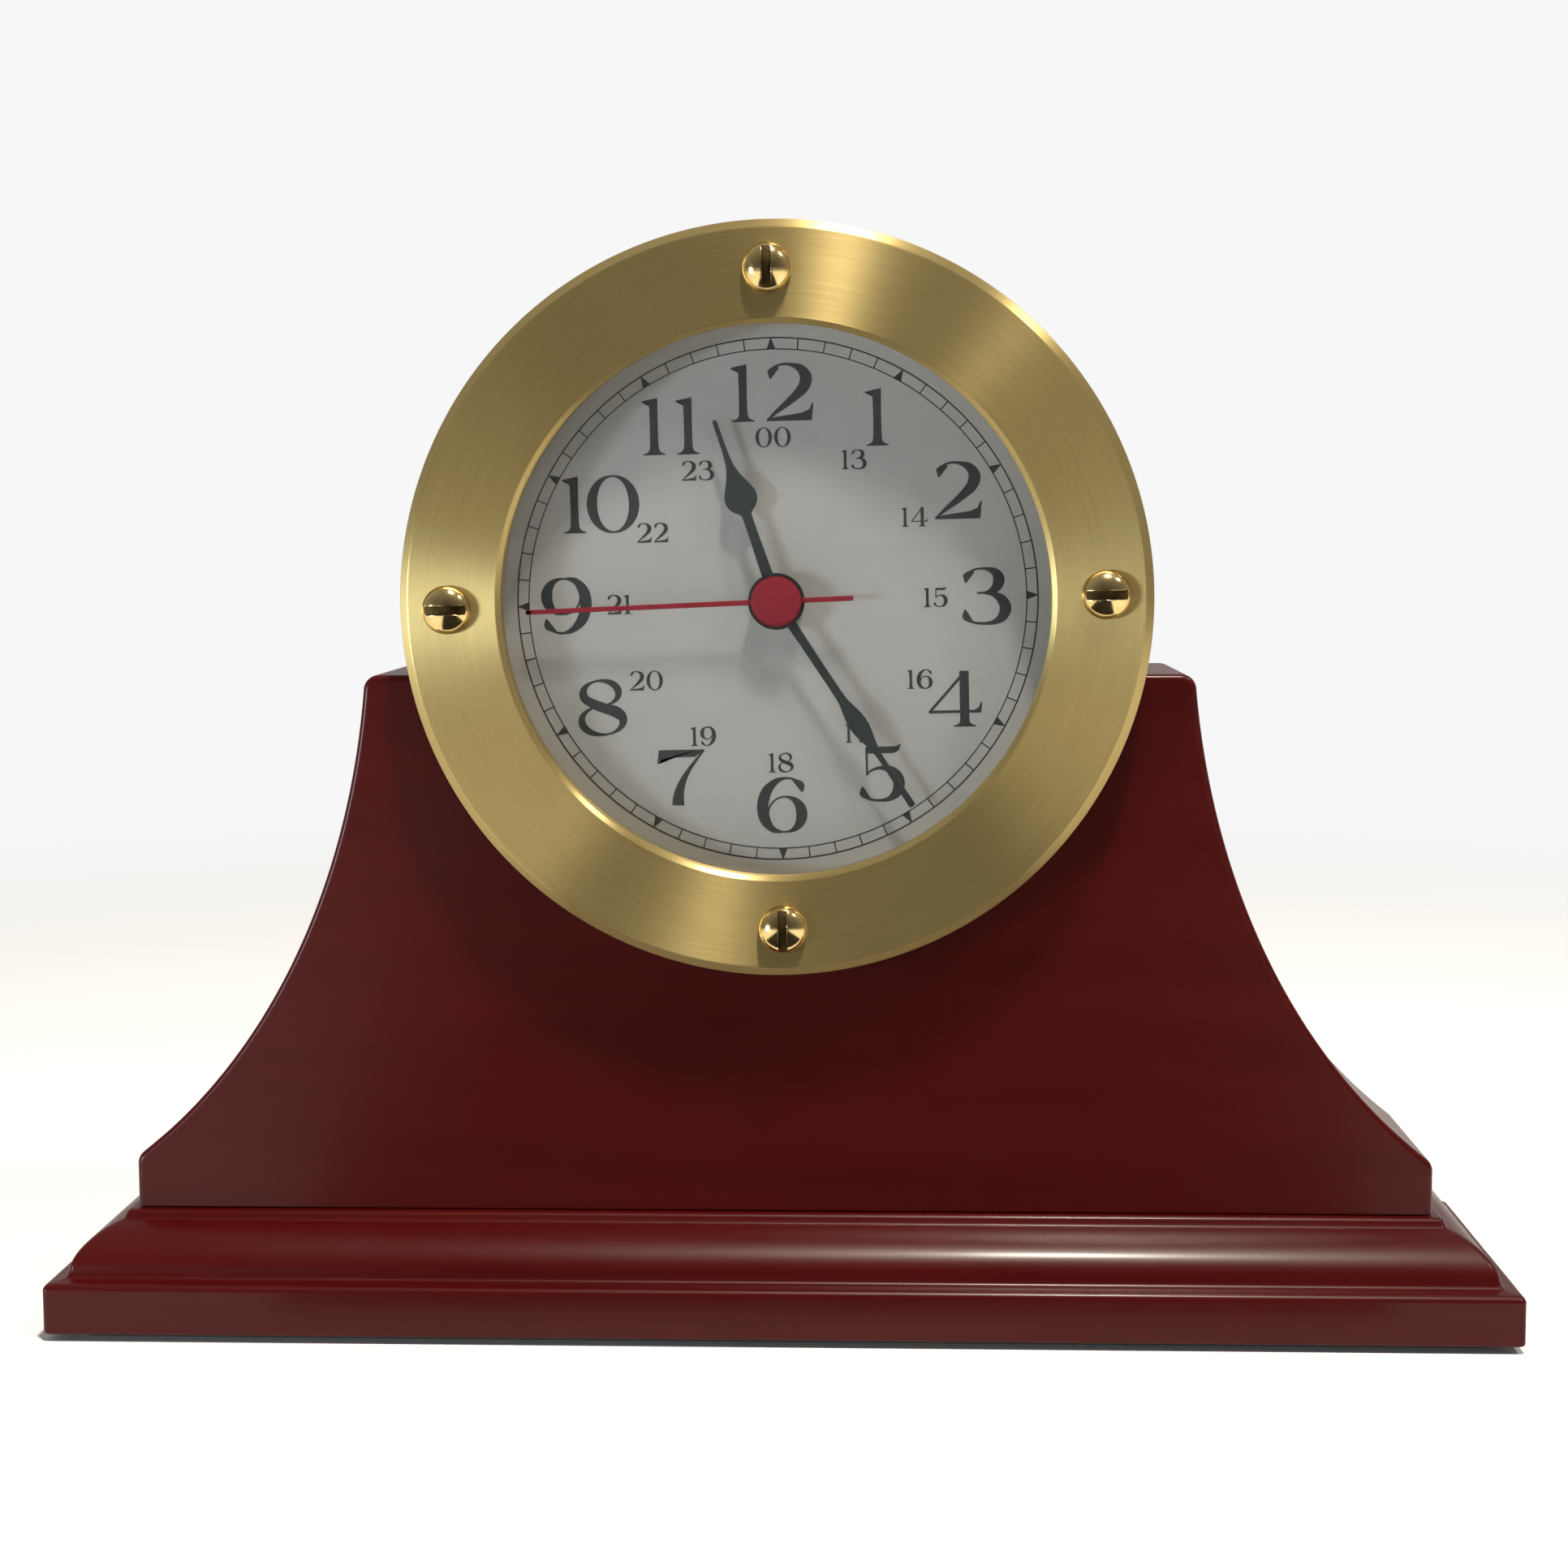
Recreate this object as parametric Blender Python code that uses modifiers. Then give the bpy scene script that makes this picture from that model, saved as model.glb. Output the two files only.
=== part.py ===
"""Ship's deck clock: a porthole quartz clock in a flared wooden stand, as separate pieces.

World axes: +X to the clock's right as seen from the front, +Y to the back, +Z up, origin under
the middle of the stand. The clock itself is modelled in its face frame, the empty clock_axis:
x to the right, y up and z towards the viewer, from the dial's centre line at the stand's front. The case sits
in its cradle turned a little anticlockwise, by CASE_TURN, and the face frame turns with it.
"""

import math

import bmesh
import bpy
from mathutils import Matrix, Vector

MM = 0.001
GAP = 0.3 * MM
RUNNING_GAP = 0.12 * MM

# Stand.
PLINTH_WIDTH = 299.0 * MM
PLINTH_DEPTH = 76.0 * MM
PLINTH_HEIGHT = 22.5 * MM
PLINTH_OVERHANG = 15.8 * MM
PLINTH_EDGE_HEIGHT = 10.3 * MM
UPRIGHT_HEIGHT = 110.6 * MM
UPRIGHT_TOP_WIDTH = 169.1 * MM
UPRIGHT_SIDE_HEIGHT = 12.0 * MM
UPRIGHT_EDGE_RADIUS = 1.2 * MM
UPRIGHT_CORNER_RADIUS = 3.2 * MM
FLARE_TOP_REACH = 39.0 * MM
FLARE_TOP_ANGLE = math.radians(5.5)
FLARE_FOOT_REACH = 35.0 * MM
FLARE_FOOT_ANGLE = math.radians(52.0)
CRADLE_CLEARANCE = 0.5 * MM
AXIS_ABOVE_UPRIGHT = 14.9 * MM
CASE_TURN = math.radians(1.2)
PLINTH_FOOT_EASE = 0.8 * MM
PLINTH_BEAD_RADIUS = 1.8 * MM
OVOLO_SHARES = ((0.74, 0.041), (0.70, 0.25), (0.40, 0.78), (0.18, 0.88))
FILLET_FOOT_SHARE = 0.13
FILLET_TOP_SHARE = 0.10
FILLET_HEIGHT = 0.5 * MM
FELT_THICKNESS = 1.2 * MM
FELT_INSET = 3.5 * MM
BASE_SCREW_SPACING = 80.0 * MM
BASE_SCREW_RADIUS = 2.0 * MM
BASE_SCREW_HEAD_RADIUS = 4.2 * MM
BASE_SCREW_LENGTH = 38.0 * MM
BASE_SCREW_SINK = 0.6 * MM

# Brass case.
BEZEL_RADIUS = 75.0 * MM
BEZEL_FACE = 9.8 * MM
BEZEL_THICKNESS = 6.2 * MM
BEZEL_LAND = 20.2 * MM
BEZEL_OUTER_CHAMFER = 1.7 * MM
BEZEL_INNER_CHAMFER = 0.9 * MM
BEZEL_LIP = 2.4 * MM
GLASS_LAP = 4.2 * MM
GLASS_THICKNESS = 2.0 * MM
FLANGE_INSET = 3.0 * MM
FLANGE_THICKNESS = 3.0 * MM
FLANGE_LIP_STEP = 0.8 * MM
DRUM_STEP = 5.2 * MM
DRUM_WALL = 1.5 * MM
DRUM_DEPTH = 34.0 * MM
SCREW_INSET = 9.6 * MM
BEZEL_SCREW_HEAD_RADIUS = 4.85 * MM
BEZEL_SCREW_HEAD_HEIGHT = 3.1 * MM
BEZEL_SCREW_RADIUS = 1.9 * MM
SLOT_WIDTH = 1.8 * MM
SLOT_DEPTH = 1.3 * MM
CRADLE_SCREW_ANGLE = math.radians(32.0)
CRADLE_SCREW_DEPTH = 22.0 * MM
CRADLE_SCREW_RADIUS = 1.7 * MM
CRADLE_SCREW_LENGTH = 15.0 * MM
CRADLE_SCREW_HEAD_RADIUS = 3.4 * MM
CRADLE_SCREW_HEAD_HEIGHT = 1.8 * MM

# Dial and hands.
DIAL_FRONT = -0.65 * MM
DIAL_THICKNESS = 0.9 * MM
DIAL_CLEARANCE = 1.0 * MM
HAND_THICKNESS = 0.4 * MM
HOUR_HAND_LENGTH = 38.2 * MM
MINUTE_HAND_LENGTH = 49.6 * MM
SECOND_HAND_LENGTH = 49.6 * MM
SECOND_HAND_TAIL = 15.4 * MM
SECOND_HAND_WIDTH = 1.1 * MM
SECOND_CAP_RADIUS = 5.1 * MM
SECOND_CAP_HEIGHT = 0.7 * MM
MINUTE_HUB_RADIUS = 5.7 * MM
HOUR_HUB_RADIUS = 5.0 * MM
SHOWN_MINUTES = 24.6
SHOWN_HOURS = 11.0 + SHOWN_MINUTES / 60.0
SHOWN_SECONDS = 44.8

# Movement.
MOVEMENT_WIDTH = 58.0 * MM
MOVEMENT_TOP = 28.0 * MM
WHEEL_ROOM_DROP = 9.1 * MM
MOVEMENT_DEPTH = 14.3 * MM
MOVEMENT_WALL = 1.5 * MM
BATTERY_RADIUS = 7.25 * MM
BATTERY_BODY = 49.0 * MM
BATTERY_NUB = 1.3 * MM
BATTERY_NUB_RADIUS = 2.7 * MM
CONTACT_THICKNESS = 0.4 * MM
SPRING_WIRE_RADIUS = 0.3 * MM
SPRING_TURNS = 2.5
SPRING_RADIUS = 4.6 * MM
SPRING_TAPER = 2.0 * MM
BATTERY_CLEARANCE = 0.7 * MM
COVER_THICKNESS = 1.5 * MM
RUBBER_THICKNESS = 0.7 * MM
BUSHING_RADIUS = 3.6 * MM
BUSHING_SHOULDER_RADIUS = 5.5 * MM
BUSHING_SHOULDER = 1.0 * MM
NUT_HALF_WIDTH = 4.5 * MM
NUT_THICKNESS = 1.2 * MM
WASHER_RADIUS = 5.5 * MM
WASHER_THICKNESS = 0.4 * MM
PIPE_WALL = 0.65 * MM
CANNON_WALL = 0.63 * MM
SECONDS_ARBOR_RADIUS = 0.42 * MM
PIVOT_RADIUS = 0.6 * MM
GEAR_THICKNESS = 0.9 * MM
KNOB_RADIUS = 7.5 * MM
KNOB_THICKNESS = 4.5 * MM
KNOB_SHAFT_RADIUS = 2.0 * MM
KNOB_FLUTES = 18
KNOB_FLUTE_DEPTH = 0.5 * MM
ROTOR_RADIUS = 2.6 * MM
ROTOR_LENGTH = 2.8 * MM
STATOR_THICKNESS = 1.0 * MM
STATOR_REACH = 2.5 * MM
STATOR_ARM = 2.0 * MM
STATOR_POLE_HALF = 4.5 * MM
STATOR_POLE_DROP = 4.6 * MM
STATOR_POLE_TOP = 3.8 * MM
ROTOR_AIR_GAP = 0.4 * MM
COIL_SHARE = 0.3328
COIL_PLACE = 0.5498
CORE_SHARE = 0.4412
COIL_LENGTH = 17.0 * MM
BOARD_WIDTH = 9.5 * MM
BOARD_THICKNESS = 1.0 * MM
CHIP_HEIGHT = 1.3 * MM
CHIP_RADIUS = 3.2 * MM
CHIP_PLACE = 0.3
CRYSTAL_RADIUS = 1.0 * MM
CRYSTAL_LENGTH = 6.0 * MM
CRYSTAL_PLACE = 0.68

# Gear trains: teeth and modules of each meshing pair.
CANNON_TEETH = 10
REVERSE_TEETH = 30
REVERSE_PINION_TEETH = 8
HOUR_TEETH = 32
KNOB_TEETH = 12
MOTION_MODULE = 0.45 * MM
CENTRE_TEETH = 64
THIRD_PINION_TEETH = 8
CENTRE_MODULE = 0.25 * MM
THIRD_TEETH = 60
SECONDS_PINION_TEETH = 8
SECONDS_TEETH = 50
INTERMEDIATE_PINION_TEETH = 10
SECONDS_MODULE = 0.27 * MM
INTERMEDIATE_TEETH = 60
ROTOR_PINION_TEETH = 10
ROTOR_MODULE = 0.22 * MM
REVERSE_DIRECTION = math.radians(20.0)
KNOB_DIRECTION = math.radians(-10.0)
THIRD_DIRECTION = math.radians(150.0)
INTERMEDIATE_DIRECTION = math.radians(60.0)

# Places of the gear planes, as shares of the movement's inner depth.
HOUR_SHARE = 0.1289
REVERSE_SHARE = 0.2539
CENTRE_SHARE = 0.3945
THIRD_SHARE = 0.5195
SECONDS_SHARE = 0.6445
INTERMEDIATE_SHARE = 0.7695

# Fineness of round shapes.
LARGE_STEPS = 60
MIDDLE_STEPS = 32
SMALL_WHEEL_STEPS = 24
SMALL_STEPS = 16

# Places that follow from the sizes above.
UPRIGHT_THICKNESS = PLINTH_DEPTH - 2 * PLINTH_OVERHANG
UPRIGHT_FOOT_WIDTH = PLINTH_WIDTH - 2 * PLINTH_OVERHANG
PLINTH_BOTTOM = FELT_THICKNESS + GAP
PLINTH_TOP = PLINTH_BOTTOM + PLINTH_HEIGHT
UPRIGHT_BOTTOM = PLINTH_TOP + GAP
UPRIGHT_TOP = UPRIGHT_BOTTOM + UPRIGHT_HEIGHT
AXIS_HEIGHT = UPRIGHT_TOP + AXIS_ABOVE_UPRIGHT
BEZEL_OPENING_RADIUS = BEZEL_RADIUS - BEZEL_LAND
SCREW_CIRCLE_RADIUS = BEZEL_RADIUS - SCREW_INSET
FLANGE_RADIUS = BEZEL_RADIUS - FLANGE_INSET
FLANGE_LIP_RADIUS = BEZEL_OPENING_RADIUS + FLANGE_LIP_STEP
DRUM_RADIUS = BEZEL_OPENING_RADIUS + DRUM_STEP
CRADLE_RADIUS = DRUM_RADIUS + CRADLE_CLEARANCE
FLANGE_BACK = GAP
FLANGE_FRONT = FLANGE_BACK + FLANGE_THICKNESS
BEZEL_BACK = BEZEL_FACE - BEZEL_THICKNESS
REBATE_FRONT = BEZEL_FACE - BEZEL_LIP
REBATE_RADIUS = BEZEL_OPENING_RADIUS + GLASS_LAP + GAP
GLASS_RADIUS = REBATE_RADIUS - GAP
GLASS_FRONT = REBATE_FRONT
GLASS_BACK = GLASS_FRONT - GLASS_THICKNESS
DIAL_RADIUS = DRUM_RADIUS - DRUM_WALL - DIAL_CLEARANCE
DIAL_BACK = DIAL_FRONT - DIAL_THICKNESS
WASHER_FRONT = DIAL_FRONT + GAP + WASHER_THICKNESS
NUT_FRONT = WASHER_FRONT + GAP + NUT_THICKNESS
BUSHING_FRONT = NUT_FRONT + 0.2 * MM
HOUR_HAND_FRONT = BUSHING_FRONT + GAP + HAND_THICKNESS
MINUTE_HAND_FRONT = HOUR_HAND_FRONT + GAP + HAND_THICKNESS
SECOND_HAND_FRONT = MINUTE_HAND_FRONT + GAP + HAND_THICKNESS
MOVEMENT_FRONT = DIAL_BACK - 2 * GAP - RUBBER_THICKNESS
MOVEMENT_FLOOR = MOVEMENT_FRONT - MOVEMENT_WALL
MOVEMENT_BACK = MOVEMENT_FRONT - MOVEMENT_DEPTH
MOVEMENT_ROOM = MOVEMENT_FLOOR - MOVEMENT_BACK
HOUR_PLANE = MOVEMENT_FLOOR - HOUR_SHARE * MOVEMENT_ROOM
REVERSE_PLANE = MOVEMENT_FLOOR - REVERSE_SHARE * MOVEMENT_ROOM
CENTRE_PLANE = MOVEMENT_FLOOR - CENTRE_SHARE * MOVEMENT_ROOM
THIRD_PLANE = MOVEMENT_FLOOR - THIRD_SHARE * MOVEMENT_ROOM
SECONDS_PLANE = MOVEMENT_FLOOR - SECONDS_SHARE * MOVEMENT_ROOM
INTERMEDIATE_PLANE = MOVEMENT_FLOOR - INTERMEDIATE_SHARE * MOVEMENT_ROOM
COVER_FRONT = MOVEMENT_BACK - GAP
COVER_BACK = COVER_FRONT - COVER_THICKNESS
BATTERY_DEPTH = MOVEMENT_FLOOR - GAP - BATTERY_RADIUS
BATTERY_ROOM = 2 * (BATTERY_RADIUS + BATTERY_CLEARANCE)
PARTITION_TOP = -WHEEL_ROOM_DROP
BATTERY_HEIGHT = PARTITION_TOP - MOVEMENT_WALL - BATTERY_ROOM / 2
MOVEMENT_BOTTOM = BATTERY_HEIGHT - BATTERY_ROOM / 2 - MOVEMENT_WALL
MINUTE_PIPE_BORE = SECONDS_ARBOR_RADIUS + GAP
MINUTE_PIPE_RADIUS = MINUTE_PIPE_BORE + CANNON_WALL
HOUR_PIPE_BORE = MINUTE_PIPE_RADIUS + GAP
HOUR_PIPE_RADIUS = HOUR_PIPE_BORE + PIPE_WALL
BUSHING_BORE = HOUR_PIPE_RADIUS + GAP

# Angles of the hands, clockwise from twelve.
HOUR_ANGLE = math.radians(SHOWN_HOURS * 30.0)
MINUTE_ANGLE = math.radians(SHOWN_MINUTES * 6.0)
SECOND_ANGLE = math.radians(SHOWN_SECONDS * 6.0)


def clear_scene():
    for obj in list(bpy.data.objects):
        bpy.data.objects.remove(obj, do_unlink=True)


def new_collection(name, helper=False):
    collection = bpy.data.collections.new(name)
    collection.hide_render = helper
    bpy.context.scene.collection.children.link(collection)
    return collection


def finish(name, colour, roughness, metallic=0.0, alpha=1.0):
    material = bpy.data.materials.new(name)
    material.use_nodes = True
    shader = material.node_tree.nodes["Principled BSDF"]
    shader.inputs["Base Color"].default_value = (*colour, 1.0)
    shader.inputs["Roughness"].default_value = roughness
    shader.inputs["Metallic"].default_value = metallic
    shader.inputs["Alpha"].default_value = alpha
    material.diffuse_color = (*colour, alpha)
    return material


clear_scene()
CLOCK = new_collection("ships_deck_clock")
CUTTERS = new_collection("cutters", helper=True)

CHERRY = finish("cherry_wood", (0.11, 0.02, 0.018), 0.35)
FELT = finish("felt", (0.03, 0.05, 0.04), 0.95)
BRUSHED_BRASS = finish("brushed_brass", (0.62, 0.49, 0.24), 0.38, 1.0)
POLISHED_BRASS = finish("polished_brass", (0.75, 0.58, 0.25), 0.15, 1.0)
GLASS = finish("glass", (0.95, 0.97, 0.97), 0.02, alpha=0.2)
RUBBER = finish("rubber", (0.02, 0.02, 0.02), 0.8)
DIAL_SILVER = finish("dial_silver", (0.55, 0.55, 0.54), 0.45, 0.3)
HAND_BLACK = finish("hand_black", (0.015, 0.017, 0.02), 0.4)
HAND_RED = finish("hand_red", (0.45, 0.02, 0.04), 0.4)
BLACK_PLASTIC = finish("black_plastic", (0.02, 0.02, 0.022), 0.5)
WHEEL_PLASTIC = finish("wheel_plastic", (0.75, 0.74, 0.7), 0.4)
STEEL = finish("steel", (0.55, 0.55, 0.56), 0.3, 1.0)
COPPER = finish("copper_wire", (0.7, 0.33, 0.16), 0.35, 1.0)
BOARD_GREEN = finish("board_green", (0.03, 0.16, 0.07), 0.5)
BATTERY_SKIN = finish("battery_skin", (0.25, 0.25, 0.27), 0.35, 0.4)

AXIS = bpy.data.objects.new("clock_axis", None)
AXIS.location = (0.0, -UPRIGHT_THICKNESS / 2, AXIS_HEIGHT)
AXIS.rotation_euler = (math.pi / 2, -CASE_TURN, 0.0)
CLOCK.objects.link(AXIS)


def place(obj, location=(0.0, 0.0, 0.0), parent=None, turn=(0.0, 0.0, 0.0)):
    obj.parent = parent
    obj.location = location
    obj.rotation_euler = turn
    return obj


def new_object(name, data, material=None, helper=False):
    obj = bpy.data.objects.new(name, data)
    (CUTTERS if helper else CLOCK).objects.link(obj)
    if material is not None:
        data.materials.append(material)
    if helper:
        obj.hide_render = True
        obj.display_type = "WIRE"
    return obj


def settle(obj):
    """Applies what the object's modifiers make, and shades round surfaces smooth."""
    bpy.context.view_layer.update()
    evaluated = obj.evaluated_get(bpy.context.evaluated_depsgraph_get())
    mesh = bpy.data.meshes.new_from_object(evaluated)
    obj.modifiers.clear()
    obj.data = mesh
    mesh.name = obj.name
    mesh.shade_smooth()
    mesh.set_sharp_from_angle(angle=math.radians(35.0))
    return obj


def combine(obj, other, operation):
    modifier = obj.modifiers.new(other.name, "BOOLEAN")
    modifier.object = other
    modifier.operation = operation
    modifier.solver = "EXACT"


def turned(name, profile, steps, material=None, closed=False, helper=False):
    """A turned piece from (radius, height) pairs, down the outer side and back up the inner."""
    points = [(radius, 0.0, height) for radius, height in profile]
    edges = [(i, i + 1) for i in range(len(points) - 1)]
    if closed:
        edges.append((len(points) - 1, 0))
    mesh = bpy.data.meshes.new(name)
    mesh.from_pydata(points, edges, [])
    obj = new_object(name, mesh, material, helper)
    screw = obj.modifiers.new("turn", "SCREW")
    screw.steps = steps
    screw.render_steps = steps
    screw.use_merge_vertices = True
    screw.merge_threshold = 0.00001
    screw.use_smooth_shade = True
    return obj


def rod(name, radius, back, front, steps, material=None, helper=False):
    profile = [(0.0, front), (radius, front), (radius, back), (0.0, back)]
    return turned(name, profile, steps, material, helper=helper)


def ring(name, outer, inner, back, front, steps, material):
    profile = [(outer, front), (outer, back), (inner, back), (inner, front)]
    return turned(name, profile, steps, material, closed=True)


def box(name, low, high, material=None, helper=False):
    """A block between two corners, with its mesh in its parent's frame."""
    size = Vector(high) - Vector(low)
    middle = (Vector(high) + Vector(low)) / 2
    bm = bmesh.new()
    bmesh.ops.create_cube(bm, size=1.0, matrix=Matrix.Translation(middle) @ Matrix.Diagonal((*size, 1.0)))
    mesh = bpy.data.meshes.new(name)
    bm.to_mesh(mesh)
    bm.free()
    return new_object(name, mesh, material, helper)


def arc(centre, radius, start, end, steps):
    """Points along an arc, both ends included, with angles from +x towards +y."""
    angles = [start + (end - start) * i / steps for i in range(steps + 1)]
    return [(centre[0] + radius * math.cos(a), centre[1] + radius * math.sin(a)) for a in angles]


def circle(radius, steps, centre=(0.0, 0.0)):
    return arc(centre, radius, 0.0, 2 * math.pi, steps)[:-1]


def cubic(start, start_handle, end_handle, end, steps):
    """Points along a cubic curve, both ends included."""
    points = []
    for i in range(steps + 1):
        t = i / steps
        weights = ((1 - t) ** 3, 3 * t * (1 - t) ** 2, 3 * t * t * (1 - t), t**3)
        handles = (start, start_handle, end_handle, end)
        points.append(tuple(sum(w * h[k] for w, h in zip(weights, handles)) for k in (0, 1)))
    return points


def flat_piece(name, outlines, back, front, material=None, edge=0.0, helper=False):
    """A flat piece of the given outlines, holes included, between two heights."""
    curve = bpy.data.curves.new(name, "CURVE")
    curve.dimensions = "2D"
    curve.fill_mode = "BOTH"
    curve.extrude = (front - back) / 2 - edge
    if edge:
        curve.bevel_depth = edge
        curve.bevel_resolution = 1
        curve.offset = -edge
    for outline in outlines:
        spline = curve.splines.new("POLY")
        spline.points.add(len(outline) - 1)
        for point, (x, y) in zip(spline.points, outline):
            point.co = (x, y, 0.0, 1.0)
        spline.use_cyclic_u = True
    drawn = new_object(name + "_outline", curve)
    bpy.context.view_layer.update()
    evaluated = drawn.evaluated_get(bpy.context.evaluated_depsgraph_get())
    mesh = bpy.data.meshes.new_from_object(evaluated)
    bpy.data.objects.remove(drawn, do_unlink=True)
    bm = bmesh.new()
    bm.from_mesh(mesh)
    bmesh.ops.remove_doubles(bm, verts=bm.verts, dist=0.000002)
    bmesh.ops.translate(bm, verts=bm.verts, vec=(0.0, 0.0, (front + back) / 2))
    bmesh.ops.recalc_face_normals(bm, faces=bm.faces)
    bm.to_mesh(mesh)
    bm.free()
    mesh.materials.clear()
    return new_object(name, mesh, material, helper)


def made_cutters(prefix):
    return [obj for obj in CUTTERS.objects if obj.name.startswith(prefix)]


def polar(direction, distance, start=(0.0, 0.0)):
    return (start[0] + distance * math.cos(direction), start[1] + distance * math.sin(direction))


# Stand.


def plinth_levels():
    """Overhang and height above the plinth's bottom at each line of its moulding."""
    overhang = PLINTH_OVERHANG
    edge = PLINTH_EDGE_HEIGHT
    rise = PLINTH_HEIGHT - edge
    levels = [(overhang - PLINTH_FOOT_EASE, 0.0), (overhang, PLINTH_FOOT_EASE)]
    bead = PLINTH_BEAD_RADIUS
    rounding = arc((overhang - bead, edge - bead), bead, 0.0, math.pi / 2, 3)
    ovolo = cubic(*[(out * overhang, edge + up * rise) for out, up in OVOLO_SHARES], 6)
    step = [(FILLET_FOOT_SHARE * overhang, PLINTH_HEIGHT - FILLET_HEIGHT),
            (FILLET_TOP_SHARE * overhang, PLINTH_HEIGHT)]
    return levels + rounding + ovolo + step


def base_plinth():
    """A rectangle raised from level to level of the moulding, so that its corners are mitred."""
    bm = bmesh.new()
    bmesh.ops.create_grid(bm, x_segments=1, y_segments=1, size=1.0)
    bm.faces.ensure_lookup_table()
    top = bm.faces[0]
    for level, (overhang, height) in enumerate(plinth_levels()):
        if level:
            below = top
            made = bmesh.ops.extrude_face_region(bm, geom=[below])["geom"]
            top = next(item for item in made if isinstance(item, bmesh.types.BMFace))
            if level > 1:
                bmesh.ops.delete(bm, geom=[below], context="FACES_ONLY")
        for vert in top.verts:
            vert.co.x = math.copysign(UPRIGHT_FOOT_WIDTH / 2 + overhang, vert.co.x)
            vert.co.y = math.copysign(UPRIGHT_THICKNESS / 2 + overhang, vert.co.y)
            vert.co.z = PLINTH_BOTTOM + height
    bmesh.ops.recalc_face_normals(bm, faces=bm.faces)
    mesh = bpy.data.meshes.new("base_plinth")
    bm.to_mesh(mesh)
    bm.free()
    plinth = new_object("base_plinth", mesh, CHERRY)
    for hole in base_screw_holes():
        combine(plinth, hole, "DIFFERENCE")
    settle(plinth)


def base_screw_places():
    return [(step * BASE_SCREW_SPACING, 0.0, 0.0) for step in (-1, 0, 1)]


def base_screw_profile(clearance):
    """A countersunk wood screw standing head down, or the hole that it turns into."""
    head_top = PLINTH_BOTTOM + BASE_SCREW_SINK
    neck = head_top + BASE_SCREW_HEAD_RADIUS - BASE_SCREW_RADIUS
    tip = head_top + BASE_SCREW_LENGTH
    bottom = PLINTH_BOTTOM - MM if clearance else head_top
    return [(0.0, tip + clearance), (BASE_SCREW_RADIUS + clearance, tip - 3 * BASE_SCREW_RADIUS + clearance),
            (BASE_SCREW_RADIUS + clearance, neck), (BASE_SCREW_HEAD_RADIUS + clearance, head_top),
            (BASE_SCREW_HEAD_RADIUS + clearance, bottom), (0.0, bottom)]


def base_screw_holes():
    """The screws' holes, which run up through the plinth into the upright."""
    holes = made_cutters("base_screw_hole")
    if holes:
        return holes
    for number, location in enumerate(base_screw_places(), 1):
        profile = base_screw_profile(GAP)
        hole = turned(f"base_screw_hole_{number}", profile, SMALL_STEPS, helper=True)
        holes.append(place(hole, location))
    return holes


def base_screws():
    head_top = PLINTH_BOTTOM + BASE_SCREW_SINK
    profile = base_screw_profile(0.0)
    del profile[4]
    for number, location in enumerate(base_screw_places(), 1):
        screw = place(turned(f"base_screw_{number}", profile, SMALL_STEPS, STEEL), location)
        reach = 0.8 * BASE_SCREW_HEAD_RADIUS
        low = (-reach, -SLOT_WIDTH / 3, head_top - MM)
        high = (reach, SLOT_WIDTH / 3, head_top + 0.6 * SLOT_DEPTH)
        slot = place(box(f"base_screw_slot_{number}", low, high, helper=True), location)
        combine(screw, slot, "DIFFERENCE")
        settle(screw)


def base_felt():
    half = (PLINTH_WIDTH / 2 - FELT_INSET, PLINTH_DEPTH / 2 - FELT_INSET)
    corner = 2 * FELT_INSET
    outline = rounded_corners(((half[0], half[1]), (-half[0], half[1]), (-half[0], -half[1]),
                               (half[0], -half[1])), corner, 4)
    settle(flat_piece("base_felt", [outline], 0.0, FELT_THICKNESS, FELT))


def rounded_corners(points, radius, steps):
    """The closed polygon with each right-angled corner turned into an arc, anticlockwise."""
    outline = []
    for i, (x, y) in enumerate(points):
        centre = (x - math.copysign(radius, x), y - math.copysign(radius, y))
        start = i * math.pi / 2
        outline += arc(centre, radius, start, start + math.pi / 2, steps)
    return outline


def upright_half_outline():
    """The right half of the upright's outline, from its foot up to the bottom of the cradle."""
    foot = UPRIGHT_FOOT_WIDTH / 2
    top = UPRIGHT_TOP_WIDTH / 2
    corner = UPRIGHT_CORNER_RADIUS
    side_top = UPRIGHT_BOTTOM + UPRIGHT_SIDE_HEIGHT
    foot_turn = math.pi / 2 - FLARE_FOOT_ANGLE
    side = [(foot, UPRIGHT_BOTTOM)]
    side += arc((foot - corner, side_top - corner), corner, 0.0, math.pi / 2 - foot_turn, 3)
    flare_foot = side[-1]
    flare_top = (top - corner * (1 - math.cos(FLARE_TOP_ANGLE)), UPRIGHT_TOP - corner)
    foot_handle = (flare_foot[0] - FLARE_FOOT_REACH * math.sin(FLARE_FOOT_ANGLE),
                   flare_foot[1] + FLARE_FOOT_REACH * math.cos(FLARE_FOOT_ANGLE))
    top_handle = (flare_top[0] + FLARE_TOP_REACH * math.sin(FLARE_TOP_ANGLE),
                  flare_top[1] - FLARE_TOP_REACH * math.cos(FLARE_TOP_ANGLE))
    side += cubic(flare_foot, foot_handle, top_handle, flare_top, 12)[1:]
    side += arc((flare_top[0] - corner, UPRIGHT_TOP - corner), corner, 0.0, math.pi / 2, 3)[1:]
    lip = math.asin(-AXIS_ABOVE_UPRIGHT / CRADLE_RADIUS)
    cradle = arc((0.0, AXIS_HEIGHT), CRADLE_RADIUS, lip, -math.pi / 2, 14)
    return side + cradle


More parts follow.
